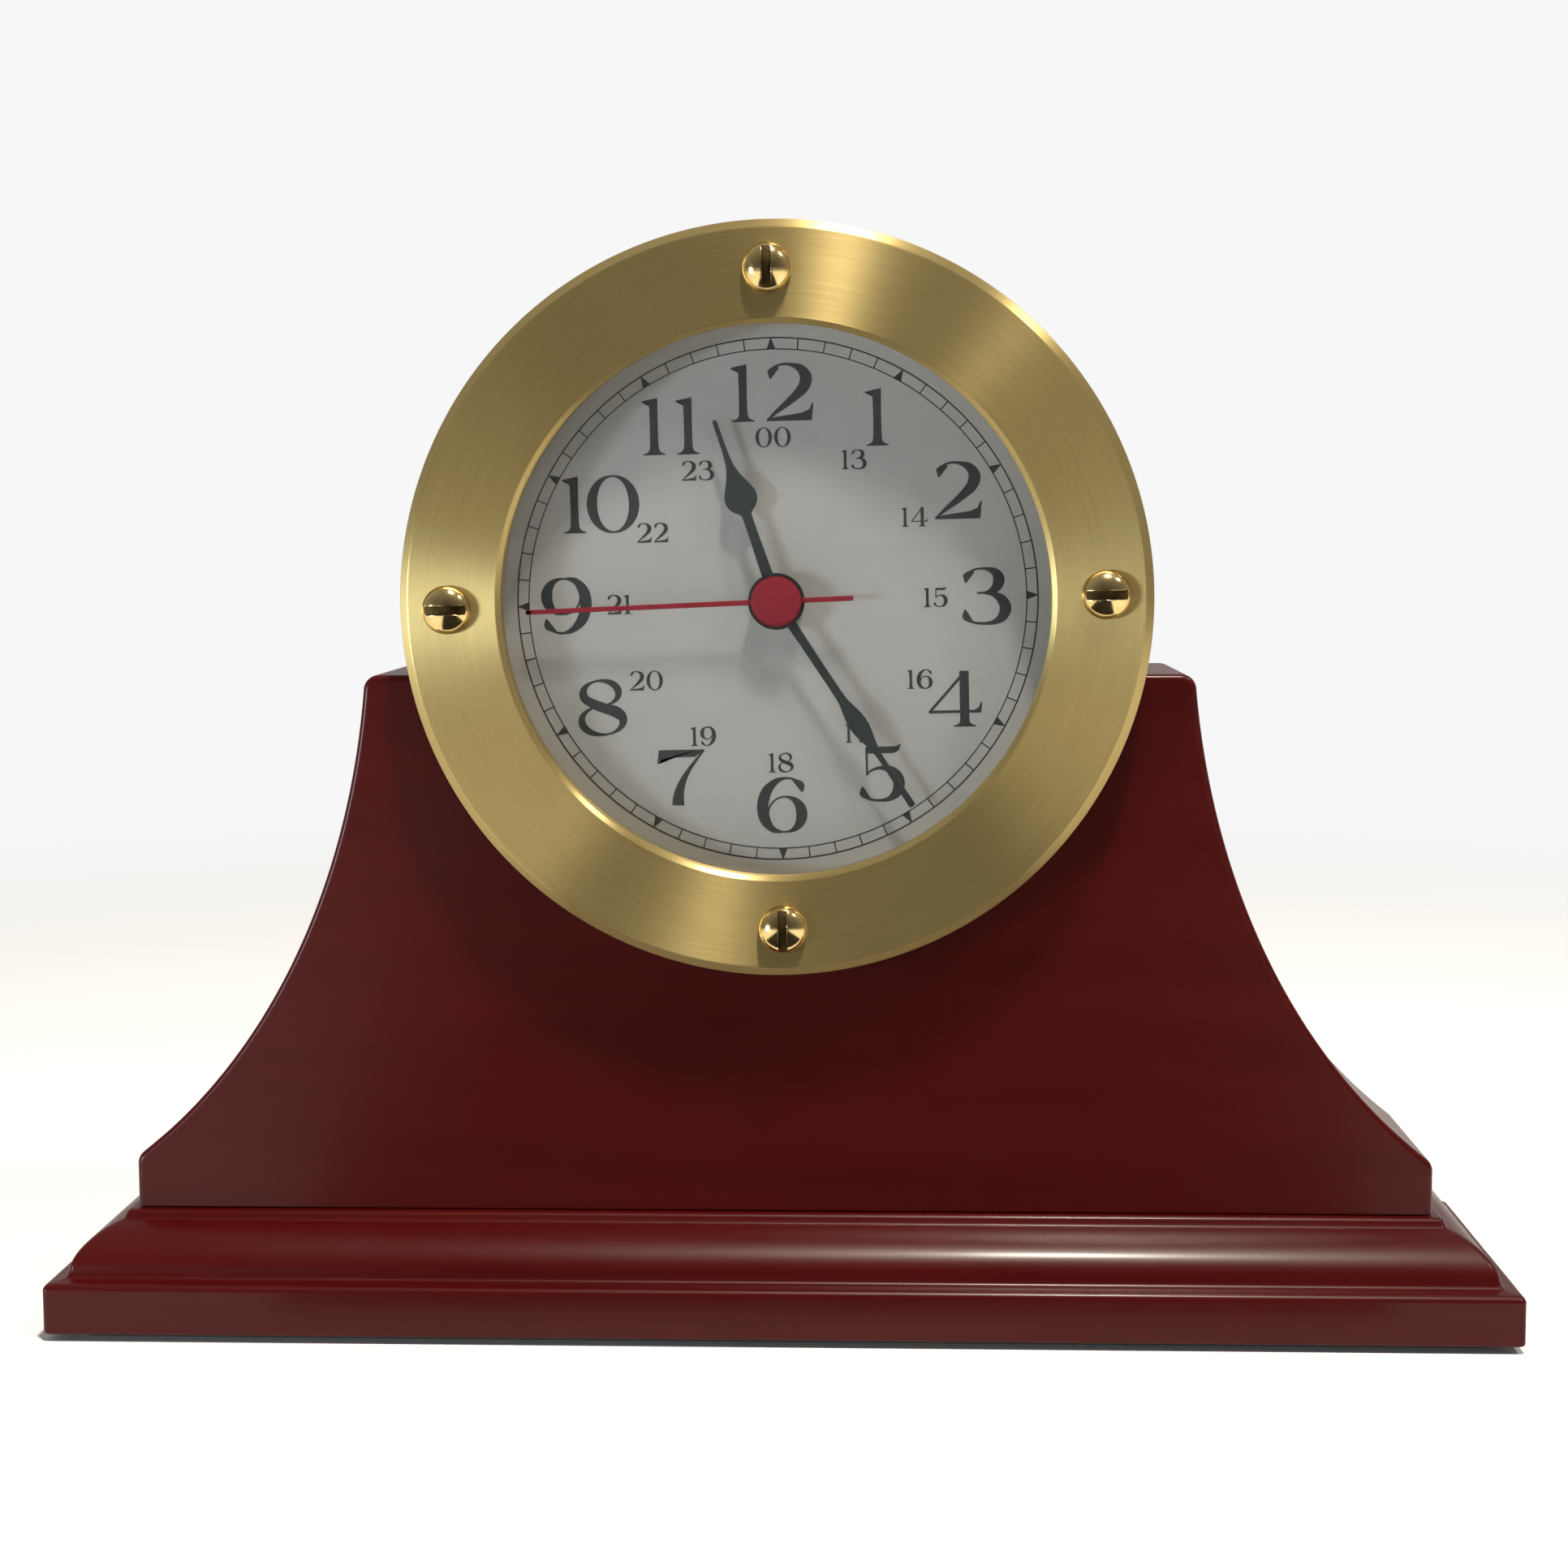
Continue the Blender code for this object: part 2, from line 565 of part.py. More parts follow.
def upright():
    right = upright_half_outline()
    left = [(-x, z) for x, z in reversed(right[:-1])]
    outline = [(x, z - UPRIGHT_BOTTOM) for x, z in right + left]
    obj = flat_piece("upright", [outline], -UPRIGHT_THICKNESS / 2, UPRIGHT_THICKNESS / 2, CHERRY,
                     edge=UPRIGHT_EDGE_RADIUS)
    place(obj, (0.0, 0.0, UPRIGHT_BOTTOM), turn=(math.pi / 2, 0.0, 0.0))
    for cutter in base_screw_holes() + cradle_screw_holes("upright"):
        combine(obj, cutter, "DIFFERENCE")
    settle(obj)


# Brass case.


def bezel():
    inner = BEZEL_OPENING_RADIUS
    profile = [
        (BEZEL_RADIUS - BEZEL_OUTER_CHAMFER, BEZEL_FACE),
        (BEZEL_RADIUS, BEZEL_FACE - BEZEL_OUTER_CHAMFER),
        (BEZEL_RADIUS, BEZEL_BACK),
        (REBATE_RADIUS, BEZEL_BACK),
        (REBATE_RADIUS, REBATE_FRONT + GAP),
        (inner, REBATE_FRONT + GAP),
        (inner, BEZEL_FACE - BEZEL_INNER_CHAMFER),
        (inner + BEZEL_INNER_CHAMFER, BEZEL_FACE),
    ]
    obj = place(turned("bezel", profile, LARGE_STEPS, BRUSHED_BRASS, closed=True), parent=AXIS)
    for cutter in bezel_screw_holes():
        combine(obj, cutter, "DIFFERENCE")
    settle(obj)


def case_drum():
    profile = [
        (FLANGE_RADIUS, FLANGE_FRONT),
        (FLANGE_RADIUS, FLANGE_BACK),
        (DRUM_RADIUS, FLANGE_BACK),
        (DRUM_RADIUS, -DRUM_DEPTH),
        (DRUM_RADIUS - DRUM_WALL, -DRUM_DEPTH),
        (DRUM_RADIUS - DRUM_WALL, DIAL_FRONT + GAP),
        (FLANGE_LIP_RADIUS, DIAL_FRONT + GAP),
        (FLANGE_LIP_RADIUS, FLANGE_FRONT),
    ]
    obj = place(turned("case_drum", profile, LARGE_STEPS, BRUSHED_BRASS, closed=True), parent=AXIS)
    for cutter in bezel_screw_holes() + cradle_screw_holes("drum"):
        combine(obj, cutter, "DIFFERENCE")
    settle(obj)


def bezel_screw_directions():
    return [math.pi / 2 * quarter for quarter in range(4)]


def bezel_screw_holes():
    """Clearance holes for the four screws, through the bezel and into the flange."""
    holes = made_cutters("bezel_screw_hole")
    if holes:
        return holes
    for number, direction in enumerate(bezel_screw_directions(), 1):
        hole = rod(f"bezel_screw_hole_{number}", BEZEL_SCREW_RADIUS + GAP, FLANGE_BACK - MM, BEZEL_FACE + MM,
                   SMALL_STEPS, helper=True)
        x, y = polar(direction, SCREW_CIRCLE_RADIUS)
        holes.append(place(hole, (x, y, 0.0), AXIS))
    return holes


def bezel_screws():
    """Round-headed screws, each slot pointing at the dial's centre."""
    seat = BEZEL_FACE + GAP
    head = BEZEL_SCREW_HEAD_RADIUS
    dome = [(head * math.sin(a), seat + BEZEL_SCREW_HEAD_HEIGHT * math.cos(a))
            for a in (math.pi / 2 * i / 5 for i in range(6))]
    profile = dome + [(BEZEL_SCREW_RADIUS, seat), (BEZEL_SCREW_RADIUS, FLANGE_BACK + GAP), (0.0, FLANGE_BACK + GAP)]
    for number, direction in enumerate(bezel_screw_directions(), 1):
        x, y = polar(direction, SCREW_CIRCLE_RADIUS)
        turn = (0.0, 0.0, direction)
        screw = turned(f"bezel_screw_{number}", profile, SMALL_WHEEL_STEPS, POLISHED_BRASS)
        place(screw, (x, y, 0.0), AXIS, turn)
        top = seat + BEZEL_SCREW_HEAD_HEIGHT
        low = (-2 * head, -SLOT_WIDTH / 2, top - SLOT_DEPTH)
        high = (2 * head, SLOT_WIDTH / 2, top + MM)
        slot = place(box(f"bezel_screw_slot_{number}", low, high, helper=True), (x, y, 0.0), AXIS, turn)
        combine(screw, slot, "DIFFERENCE")
        settle(screw)


def cradle_screw_turns():
    return [-math.pi / 2 - CRADLE_SCREW_ANGLE, -math.pi / 2 + CRADLE_SCREW_ANGLE]


def aimed(obj, direction):
    """Points the piece's own height outwards from the clock's axis, level with the cradle screws."""
    obj.parent = AXIS
    obj.matrix_parent_inverse = Matrix.Identity(4)
    turn = Matrix.Rotation(direction, 4, "Z") @ Matrix.Rotation(math.pi / 2, 4, "Y")
    obj.matrix_basis = Matrix.Translation((0.0, 0.0, -CRADLE_SCREW_DEPTH)) @ turn
    return obj


def cradle_screw_holes(piece):
    holes = []
    tip = DRUM_RADIUS - DRUM_WALL + CRADLE_SCREW_LENGTH + MM
    for number, direction in enumerate(cradle_screw_turns(), 1):
        hole = rod(f"cradle_screw_hole_{piece}_{number}", CRADLE_SCREW_RADIUS + GAP,
                   DRUM_RADIUS - 4 * DRUM_WALL, tip, SMALL_STEPS, helper=True)
        holes.append(aimed(hole, direction))
    return holes


def cradle_screws():
    """Wood screws through the drum's wall into the cradle, with pan heads inside the drum."""
    inside = DRUM_RADIUS - DRUM_WALL
    seat = math.sqrt(inside**2 - CRADLE_SCREW_HEAD_RADIUS**2) - GAP
    tip = inside + CRADLE_SCREW_LENGTH
    profile = [(0.0, tip), (CRADLE_SCREW_RADIUS, tip - 2 * CRADLE_SCREW_RADIUS), (CRADLE_SCREW_RADIUS, seat),
               (CRADLE_SCREW_HEAD_RADIUS, seat),
               (CRADLE_SCREW_HEAD_RADIUS, seat - CRADLE_SCREW_HEAD_HEIGHT / 2),
               (0.75 * CRADLE_SCREW_HEAD_RADIUS, seat - CRADLE_SCREW_HEAD_HEIGHT),
               (0.0, seat - CRADLE_SCREW_HEAD_HEIGHT)]
    for number, direction in enumerate(cradle_screw_turns(), 1):
        screw = aimed(turned(f"cradle_screw_{number}", profile, SMALL_STEPS, STEEL), direction)
        settle(screw)


def glass_and_gasket():
    glass = rod("glass", GLASS_RADIUS, GLASS_BACK, GLASS_FRONT, LARGE_STEPS, GLASS)
    settle(place(glass, parent=AXIS))
    gasket = ring("glass_gasket", GLASS_RADIUS, FLANGE_LIP_RADIUS + GAP, FLANGE_FRONT + GAP,
                  GLASS_BACK - GAP, LARGE_STEPS, RUBBER)
    settle(place(gasket, parent=AXIS))


# Dial and hands.


def dial():
    outlines = [circle(DIAL_RADIUS, LARGE_STEPS), circle(BUSHING_RADIUS + GAP, SMALL_STEPS)]
    settle(place(flat_piece("dial", outlines, DIAL_BACK, DIAL_FRONT, DIAL_SILVER), parent=AXIS))


def dial_fastening():
    washer = ring("dial_washer", WASHER_RADIUS, BUSHING_RADIUS + GAP, DIAL_FRONT + GAP, WASHER_FRONT,
                  SMALL_WHEEL_STEPS, POLISHED_BRASS)
    settle(place(washer, parent=AXIS))
    hexagon = circle(NUT_HALF_WIDTH / math.cos(math.pi / 6), 6)
    nut = flat_piece("hex_nut", [hexagon, circle(BUSHING_RADIUS + GAP, SMALL_STEPS)], WASHER_FRONT + GAP,
                     NUT_FRONT, POLISHED_BRASS)
    settle(place(nut, parent=AXIS))
    rubber = ring("rubber_washer", 2.2 * BUSHING_RADIUS, BUSHING_RADIUS + GAP, MOVEMENT_FRONT + GAP,
                  DIAL_BACK - GAP, SMALL_WHEEL_STEPS, RUBBER)
    settle(place(rubber, parent=AXIS))


def hand_outline(hub_radius, half_widths):
    """A hand pointing up: an arc round the hub, then (distance, half width) pairs up one side."""
    start = math.asin(half_widths[0][1] / hub_radius)
    hub = arc((0.0, 0.0), hub_radius, math.pi / 2 + start, math.pi * 5 / 2 - start, 28)
    right = [(half, distance) for distance, half in half_widths[1:]]
    left = [(-half, distance) for distance, half in reversed(half_widths[1:])]
    return hub + right + left


def place_hand(obj, angle):
    settle(place(obj, parent=AXIS, turn=(0.0, 0.0, -angle)))


def hour_hand():
    """Spade hour hand: a slim stem, a round-shouldered spade and a rod tip."""
    spade = [(0.0, 0.9), (18.7, 1.0), (19.6, 2.3), (21.2, 3.1), (22.8, 3.1), (24.8, 2.3), (27.0, 1.2),
             (29.0, 0.7)]
    widths = [(distance * MM, half * MM) for distance, half in spade] + [(HOUR_HAND_LENGTH, 0.4 * MM)]
    outlines = [hand_outline(HOUR_HUB_RADIUS, widths), circle(HOUR_PIPE_RADIUS + GAP, SMALL_STEPS)]
    obj = flat_piece("hour_hand", outlines, HOUR_HAND_FRONT - HAND_THICKNESS, HOUR_HAND_FRONT, HAND_BLACK)
    place_hand(obj, HOUR_ANGLE)


def minute_hand():
    """Leaf minute hand: a slim stem, a long leaf and a fine tip."""
    leaf = [(0.0, 0.9), (24.2, 0.9), (26.5, 1.45), (28.5, 1.85), (30.5, 1.9), (33.0, 1.4), (36.5, 0.7)]
    widths = [(distance * MM, half * MM) for distance, half in leaf] + [(MINUTE_HAND_LENGTH, 0.45 * MM)]
    outlines = [hand_outline(MINUTE_HUB_RADIUS, widths), circle(MINUTE_PIPE_RADIUS + GAP, SMALL_STEPS)]
    obj = flat_piece("minute_hand", outlines, MINUTE_HAND_FRONT - HAND_THICKNESS, MINUTE_HAND_FRONT, HAND_BLACK)
    place_hand(obj, MINUTE_ANGLE)


def second_hand():
    """Straight second hand with a tail, its round cap in front."""
    half = SECOND_HAND_WIDTH / 2
    bar = [(half, -SECOND_HAND_TAIL), (half, SECOND_HAND_LENGTH - half), (0.0, SECOND_HAND_LENGTH),
           (-half, SECOND_HAND_LENGTH - half), (-half, -SECOND_HAND_TAIL)]
    obj = flat_piece("second_hand", [bar], SECOND_HAND_FRONT - HAND_THICKNESS, SECOND_HAND_FRONT, HAND_RED)
    place_hand(obj, SECOND_ANGLE)
    top = SECOND_HAND_FRONT + GAP + SECOND_CAP_HEIGHT
    profile = [(0.0, top), (0.6 * SECOND_CAP_RADIUS, top - 0.08 * MM),
               (0.9 * SECOND_CAP_RADIUS, top - 0.25 * MM), (SECOND_CAP_RADIUS, top - 0.5 * MM),
               (SECOND_CAP_RADIUS, top - SECOND_CAP_HEIGHT), (0.0, top - SECOND_CAP_HEIGHT)]
    place_hand(turned("second_hand_cap", profile, MIDDLE_STEPS, HAND_RED), 0.0)


# Movement.


def pivots():
    """Centres of the arbors in the face frame, by name."""
    reverse = polar(REVERSE_DIRECTION, MOTION_MODULE * (CANNON_TEETH + REVERSE_TEETH) / 2)
    third = polar(THIRD_DIRECTION, CENTRE_MODULE * (CENTRE_TEETH + THIRD_PINION_TEETH) / 2)
    seconds_reach = SECONDS_MODULE * (SECONDS_TEETH + INTERMEDIATE_PINION_TEETH) / 2
    intermediate = polar(INTERMEDIATE_DIRECTION, seconds_reach)
    rotor_reach = ROTOR_MODULE * (INTERMEDIATE_TEETH + ROTOR_PINION_TEETH) / 2
    return {
        "reverse": reverse,
        "knob": polar(KNOB_DIRECTION, MOTION_MODULE * (REVERSE_TEETH + KNOB_TEETH) / 2, reverse),
        "third": third,
        "intermediate": intermediate,
        "rotor": polar(INTERMEDIATE_DIRECTION, rotor_reach, intermediate),
    }


def hole_cutter(name, radius, centre, back, front):
    cutter = rod(name, radius, back, front, SMALL_STEPS, helper=True)
    return place(cutter, (*centre, 0.0), AXIS)


def movement_case():
    """A tray open at the back, with a room for the wheels above one for the battery."""
    half = MOVEMENT_WIDTH / 2
    case = box("movement_case", (-half, MOVEMENT_BOTTOM, MOVEMENT_BACK), (half, MOVEMENT_TOP, MOVEMENT_FRONT),
               BLACK_PLASTIC)
    place(case, parent=AXIS)
    inside = half - MOVEMENT_WALL
    rooms = {"wheel_room": (PARTITION_TOP, MOVEMENT_TOP - MOVEMENT_WALL),
             "battery_room": (MOVEMENT_BOTTOM + MOVEMENT_WALL, PARTITION_TOP - MOVEMENT_WALL)}
    for name, (bottom, top) in rooms.items():
        room = box(name, (-inside, bottom, MOVEMENT_BACK - MM), (inside, top, MOVEMENT_FLOOR), helper=True)
        combine(case, place(room, parent=AXIS), "DIFFERENCE")
    front = MOVEMENT_FRONT + MM
    back = MOVEMENT_FLOOR - MM
    combine(case, hole_cutter("bushing_hole", BUSHING_RADIUS + GAP, (0.0, 0.0), back, front), "DIFFERENCE")
    for name in ("reverse", "third", "rotor"):
        cutter = hole_cutter(f"{name}_front_pivot", PIVOT_RADIUS + RUNNING_GAP, pivots()[name], back, front)
        combine(case, cutter, "DIFFERENCE")
    settle(case)


def threaded_bushing():
    shoulder_front = MOVEMENT_FLOOR - GAP
    shoulder_back = shoulder_front - BUSHING_SHOULDER
    profile = [(BUSHING_RADIUS, BUSHING_FRONT), (BUSHING_RADIUS, shoulder_front),
               (BUSHING_SHOULDER_RADIUS, shoulder_front), (BUSHING_SHOULDER_RADIUS, shoulder_back),
               (BUSHING_BORE, shoulder_back), (BUSHING_BORE, BUSHING_FRONT)]
    settle(place(turned("threaded_bushing", profile, SMALL_WHEEL_STEPS, POLISHED_BRASS, closed=True), parent=AXIS))


def rear_cover():
    half = MOVEMENT_WIDTH / 2
    cover = box("rear_cover", (-half, PARTITION_TOP - MOVEMENT_WALL, COVER_BACK),
                (half, MOVEMENT_TOP, COVER_FRONT), BLACK_PLASTIC)
    place(cover, parent=AXIS)
    holes = {name: PIVOT_RADIUS + RUNNING_GAP for name in ("third", "intermediate", "rotor")}
    holes["knob"] = KNOB_SHAFT_RADIUS + RUNNING_GAP
    for name, radius in holes.items():
        cutter = hole_cutter(f"{name}_back_pivot", radius, pivots()[name], COVER_BACK - MM, COVER_FRONT + MM)
        combine(cover, cutter, "DIFFERENCE")
    seconds = hole_cutter("seconds_back_pivot", SECONDS_ARBOR_RADIUS + RUNNING_GAP, (0.0, 0.0),
                          COVER_BACK - MM, COVER_FRONT + MM)
    combine(cover, seconds, "DIFFERENCE")
    settle(cover)


def battery():
    """A standard AA cell lying along x, its button end to the right."""
    radius = BATTERY_RADIUS
    end = BATTERY_BODY / 2
    profile = [(0.0, end + BATTERY_NUB), (BATTERY_NUB_RADIUS, end + BATTERY_NUB),
               (BATTERY_NUB_RADIUS, end - 0.2 * MM),
               (radius - 1.2 * MM, end - 0.2 * MM), (radius, end - 1.0 * MM), (radius, 0.8 * MM - end),
               (radius - 0.8 * MM, -end), (0.0, -end)]
    cell = turned("aa_battery", profile, SMALL_WHEEL_STEPS, BATTERY_SKIN)
    settle(place(cell, (0.0, BATTERY_HEIGHT, BATTERY_DEPTH), AXIS, (0.0, math.pi / 2, 0.0)))


def battery_contacts():
    inside = MOVEMENT_WIDTH / 2 - MOVEMENT_WALL
    plate_front = MOVEMENT_FLOOR - GAP
    plate_back = MOVEMENT_BACK + MM
    half = 0.6 * BATTERY_RADIUS
    right = inside - GAP
    contact = box("battery_contact", (right - CONTACT_THICKNESS, BATTERY_HEIGHT - half, plate_back),
                  (right, BATTERY_HEIGHT + half, plate_front), STEEL)
    settle(place(contact, parent=AXIS))
    left = -inside + GAP
    room = -BATTERY_BODY / 2 - GAP - left
    wire = SPRING_WIRE_RADIUS
    count = int(SPRING_TURNS * 12)
    curve = bpy.data.curves.new("battery_spring", "CURVE")
    curve.dimensions = "3D"
    curve.bevel_depth = wire
    curve.bevel_resolution = 1
    curve.use_fill_caps = True
    spline = curve.splines.new("POLY")
    spline.points.add(count)
    for i in range(count + 1):
        share = i / count
        radius = SPRING_RADIUS - SPRING_TAPER * share
        angle = 2 * math.pi * SPRING_TURNS * share
        x = left + wire + (room - 2 * wire) * share
        spline.points[i].co = (x, radius * math.cos(angle), radius * math.sin(angle), 1.0)
    spring = new_object("battery_spring", curve, STEEL)
    place(spring, (0.0, BATTERY_HEIGHT, BATTERY_DEPTH), AXIS)


def gear_outline(teeth, module, turn):
    """Slim pointed teeth, wide at the root, with play between the teeth of a pair."""
    pitch = 2 * math.pi / teeth
    root = module * teeth / 2 - 1.15 * module
    tip = module * teeth / 2 + 0.8 * module
    points = []
    for tooth in range(teeth):
        middle = turn + tooth * pitch
        for radius, offset in ((root, -0.22), (tip, 0.0), (root, 0.22)):
            points.append(polar(middle + offset * pitch, radius))
    return points


def mate_turn(turn, teeth, towards, mate_teeth):
    """The turn at which a wheel's mate has its teeth in this wheel's gaps."""
    along = (turn - towards) * teeth / (2 * math.pi) % 1.0
    return towards + math.pi - (along + 0.5) * 2 * math.pi / mate_teeth


def wheel(name, teeth, module, turn, plane, material, bore=0.0, helper=False):
    outlines = [gear_outline(teeth, module, turn)]
    if bore:
        outlines.append(circle(bore, SMALL_STEPS))
    return flat_piece(name, outlines, plane - GEAR_THICKNESS, plane, material, helper=helper)


def arbor_piece(name, parts, centre):
    """Joins a wheel, its pinion and its arbor into one body on their own axis."""
    main = place(parts[0], (*centre, 0.0), AXIS)
    for other in parts[1:]:
        combine(main, place(other, (*centre, 0.0), AXIS), "UNION")
    settle(main)
    main.name = name


def motion_work():
    """Hour wheel, reverse wheel and the centre arbor with its cannon pinion."""
    centre = (0.0, 0.0)
    at = pivots()
    cannon_turn = REVERSE_DIRECTION
    reverse_turn = mate_turn(cannon_turn, CANNON_TEETH, REVERSE_DIRECTION, REVERSE_TEETH)
    pinion_turn = reverse_turn
    hour_turn = mate_turn(pinion_turn, REVERSE_PINION_TEETH, REVERSE_DIRECTION + math.pi, HOUR_TEETH)
    pipe_end = CENTRE_PLANE - GEAR_THICKNESS - 0.4 * MM
    pipe = ring("centre_arbor", MINUTE_PIPE_RADIUS, MINUTE_PIPE_BORE, pipe_end, MINUTE_HAND_FRONT,
                SMALL_STEPS, POLISHED_BRASS)
    cannon = wheel("cannon_pinion", CANNON_TEETH, MOTION_MODULE, cannon_turn, REVERSE_PLANE, None,
                   bore=MINUTE_PIPE_RADIUS - 0.1 * MM, helper=True)
    arbor_piece("centre_arbor", [pipe, cannon], centre)
    hour = wheel("hour_wheel", HOUR_TEETH, MOTION_MODULE, hour_turn, HOUR_PLANE, WHEEL_PLASTIC,
                 bore=HOUR_PIPE_BORE)
    hour_pipe = ring("hour_pipe", HOUR_PIPE_RADIUS, HOUR_PIPE_BORE, HOUR_PLANE - GEAR_THICKNESS / 2,
                     HOUR_HAND_FRONT, SMALL_STEPS, None)
    arbor_piece("hour_wheel", [hour, as_helper(hour_pipe)], centre)
    reverse = wheel("reverse_wheel", REVERSE_TEETH, MOTION_MODULE, reverse_turn, REVERSE_PLANE, WHEEL_PLASTIC)
    pinion = wheel("reverse_pinion", REVERSE_PINION_TEETH, MOTION_MODULE, pinion_turn,
                   HOUR_PLANE, None, helper=True)
    stem_end = REVERSE_PLANE - GEAR_THICKNESS - 0.2 * MM
    stem = rod("reverse_stem", PIVOT_RADIUS, stem_end, MOVEMENT_FLOOR + 0.8 * MM, SMALL_STEPS, helper=True)
    neck = rod("reverse_neck", 1.0 * MM, REVERSE_PLANE - 0.1 * MM, HOUR_PLANE - 0.1 * MM, SMALL_STEPS, helper=True)
    arbor_piece("reverse_wheel", [reverse, pinion, stem, neck], at["reverse"])
    knob_turn = mate_turn(reverse_turn, REVERSE_TEETH, KNOB_DIRECTION, KNOB_TEETH)
    setting_knob(knob_turn, at["knob"])


def as_helper(obj):
    CLOCK.objects.unlink(obj)
    CUTTERS.objects.link(obj)
    obj.hide_render = True
    obj.display_type = "WIRE"
    return obj


def setting_knob(turn, centre):
    """The fluted knob behind the rear cover, with its shaft and pinion."""
    back = COVER_BACK - 2 * GAP
    flutes = []
    for step in range(2 * KNOB_FLUTES):
        radius = KNOB_RADIUS if step % 2 else KNOB_RADIUS - KNOB_FLUTE_DEPTH
        flutes.append(polar(math.pi * step / KNOB_FLUTES, radius))
    knob = flat_piece("setting_knob", [flutes], back - KNOB_THICKNESS, back, BLACK_PLASTIC)
    shaft = rod("knob_shaft", KNOB_SHAFT_RADIUS, back - MM, REVERSE_PLANE - GEAR_THICKNESS / 2, SMALL_STEPS,
                helper=True)
    pinion = wheel("knob_pinion", KNOB_TEETH, MOTION_MODULE, turn, REVERSE_PLANE, None, helper=True)
    arbor_piece("setting_knob", [knob, shaft, pinion], centre)


def going_train():
    """Rotor, intermediate, seconds and third wheels, and the centre wheel that drives the hands."""
    at = pivots()
    rear = COVER_BACK + 0.3 * MM
    third_turn = THIRD_DIRECTION + math.pi
    centre_turn = mate_turn(third_turn, THIRD_PINION_TEETH, THIRD_DIRECTION + math.pi, CENTRE_TEETH)
    centre_wheel = wheel("centre_wheel", CENTRE_TEETH, CENTRE_MODULE, centre_turn, CENTRE_PLANE,
                         POLISHED_BRASS, bore=MINUTE_PIPE_RADIUS + RUNNING_GAP)
    settle(place(centre_wheel, parent=AXIS))
    third_module = CENTRE_MODULE * (CENTRE_TEETH + THIRD_PINION_TEETH) / (THIRD_TEETH + SECONDS_PINION_TEETH)
    third = wheel("third_wheel", THIRD_TEETH, third_module, third_turn, THIRD_PLANE, WHEEL_PLASTIC)
    third_pinion = wheel("third_pinion", THIRD_PINION_TEETH, CENTRE_MODULE, third_turn, CENTRE_PLANE, None,
                         helper=True)
    third_stem = rod("third_stem", PIVOT_RADIUS, rear, MOVEMENT_FLOOR + 0.8 * MM, SMALL_STEPS, helper=True)
    arbor_piece("third_wheel", [third, third_pinion, third_stem], at["third"])
    pinion_turn = mate_turn(third_turn, THIRD_TEETH, THIRD_DIRECTION + math.pi, SECONDS_PINION_TEETH)
    seconds_turn = INTERMEDIATE_DIRECTION
    seconds = wheel("seconds_wheel", SECONDS_TEETH, SECONDS_MODULE, seconds_turn, SECONDS_PLANE, WHEEL_PLASTIC)
    seconds_pinion = wheel("seconds_pinion", SECONDS_PINION_TEETH, third_module, pinion_turn, THIRD_PLANE, None,
                           helper=True)
    seconds_stem = rod("seconds_stem", SECONDS_ARBOR_RADIUS, rear,
                       SECOND_HAND_FRONT - HAND_THICKNESS - GAP / 2, SMALL_STEPS, helper=True)
    arbor_piece("seconds_wheel", [seconds, seconds_pinion, seconds_stem], (0.0, 0.0))
    inner_turn = mate_turn(seconds_turn, SECONDS_TEETH, INTERMEDIATE_DIRECTION, INTERMEDIATE_PINION_TEETH)
    outer_turn = INTERMEDIATE_DIRECTION
    intermediate = wheel("intermediate_wheel", INTERMEDIATE_TEETH, ROTOR_MODULE, outer_turn,
                         INTERMEDIATE_PLANE, WHEEL_PLASTIC)
    inner_pinion = wheel("intermediate_pinion", INTERMEDIATE_PINION_TEETH, SECONDS_MODULE, inner_turn,
                         SECONDS_PLANE, None, helper=True)
    inner_stem = rod("intermediate_stem", PIVOT_RADIUS, rear, SECONDS_PLANE + 0.2 * MM, SMALL_STEPS, helper=True)
    arbor_piece("intermediate_wheel", [intermediate, inner_pinion, inner_stem], at["intermediate"])
    rotor_turn = mate_turn(outer_turn, INTERMEDIATE_TEETH, INTERMEDIATE_DIRECTION, ROTOR_PINION_TEETH)
    magnet = rod("rotor", ROTOR_RADIUS, SECONDS_PLANE, SECONDS_PLANE + ROTOR_LENGTH, SMALL_WHEEL_STEPS,
                 STEEL)
    rotor_pinion = wheel("rotor_pinion", ROTOR_PINION_TEETH, ROTOR_MODULE, rotor_turn, INTERMEDIATE_PLANE, None,
                         helper=True)
    rotor_stem = rod("rotor_stem", PIVOT_RADIUS, rear, MOVEMENT_FLOOR + 0.8 * MM, SMALL_STEPS, helper=True)
    arbor_piece("rotor", [magnet, rotor_pinion, rotor_stem], at["rotor"])


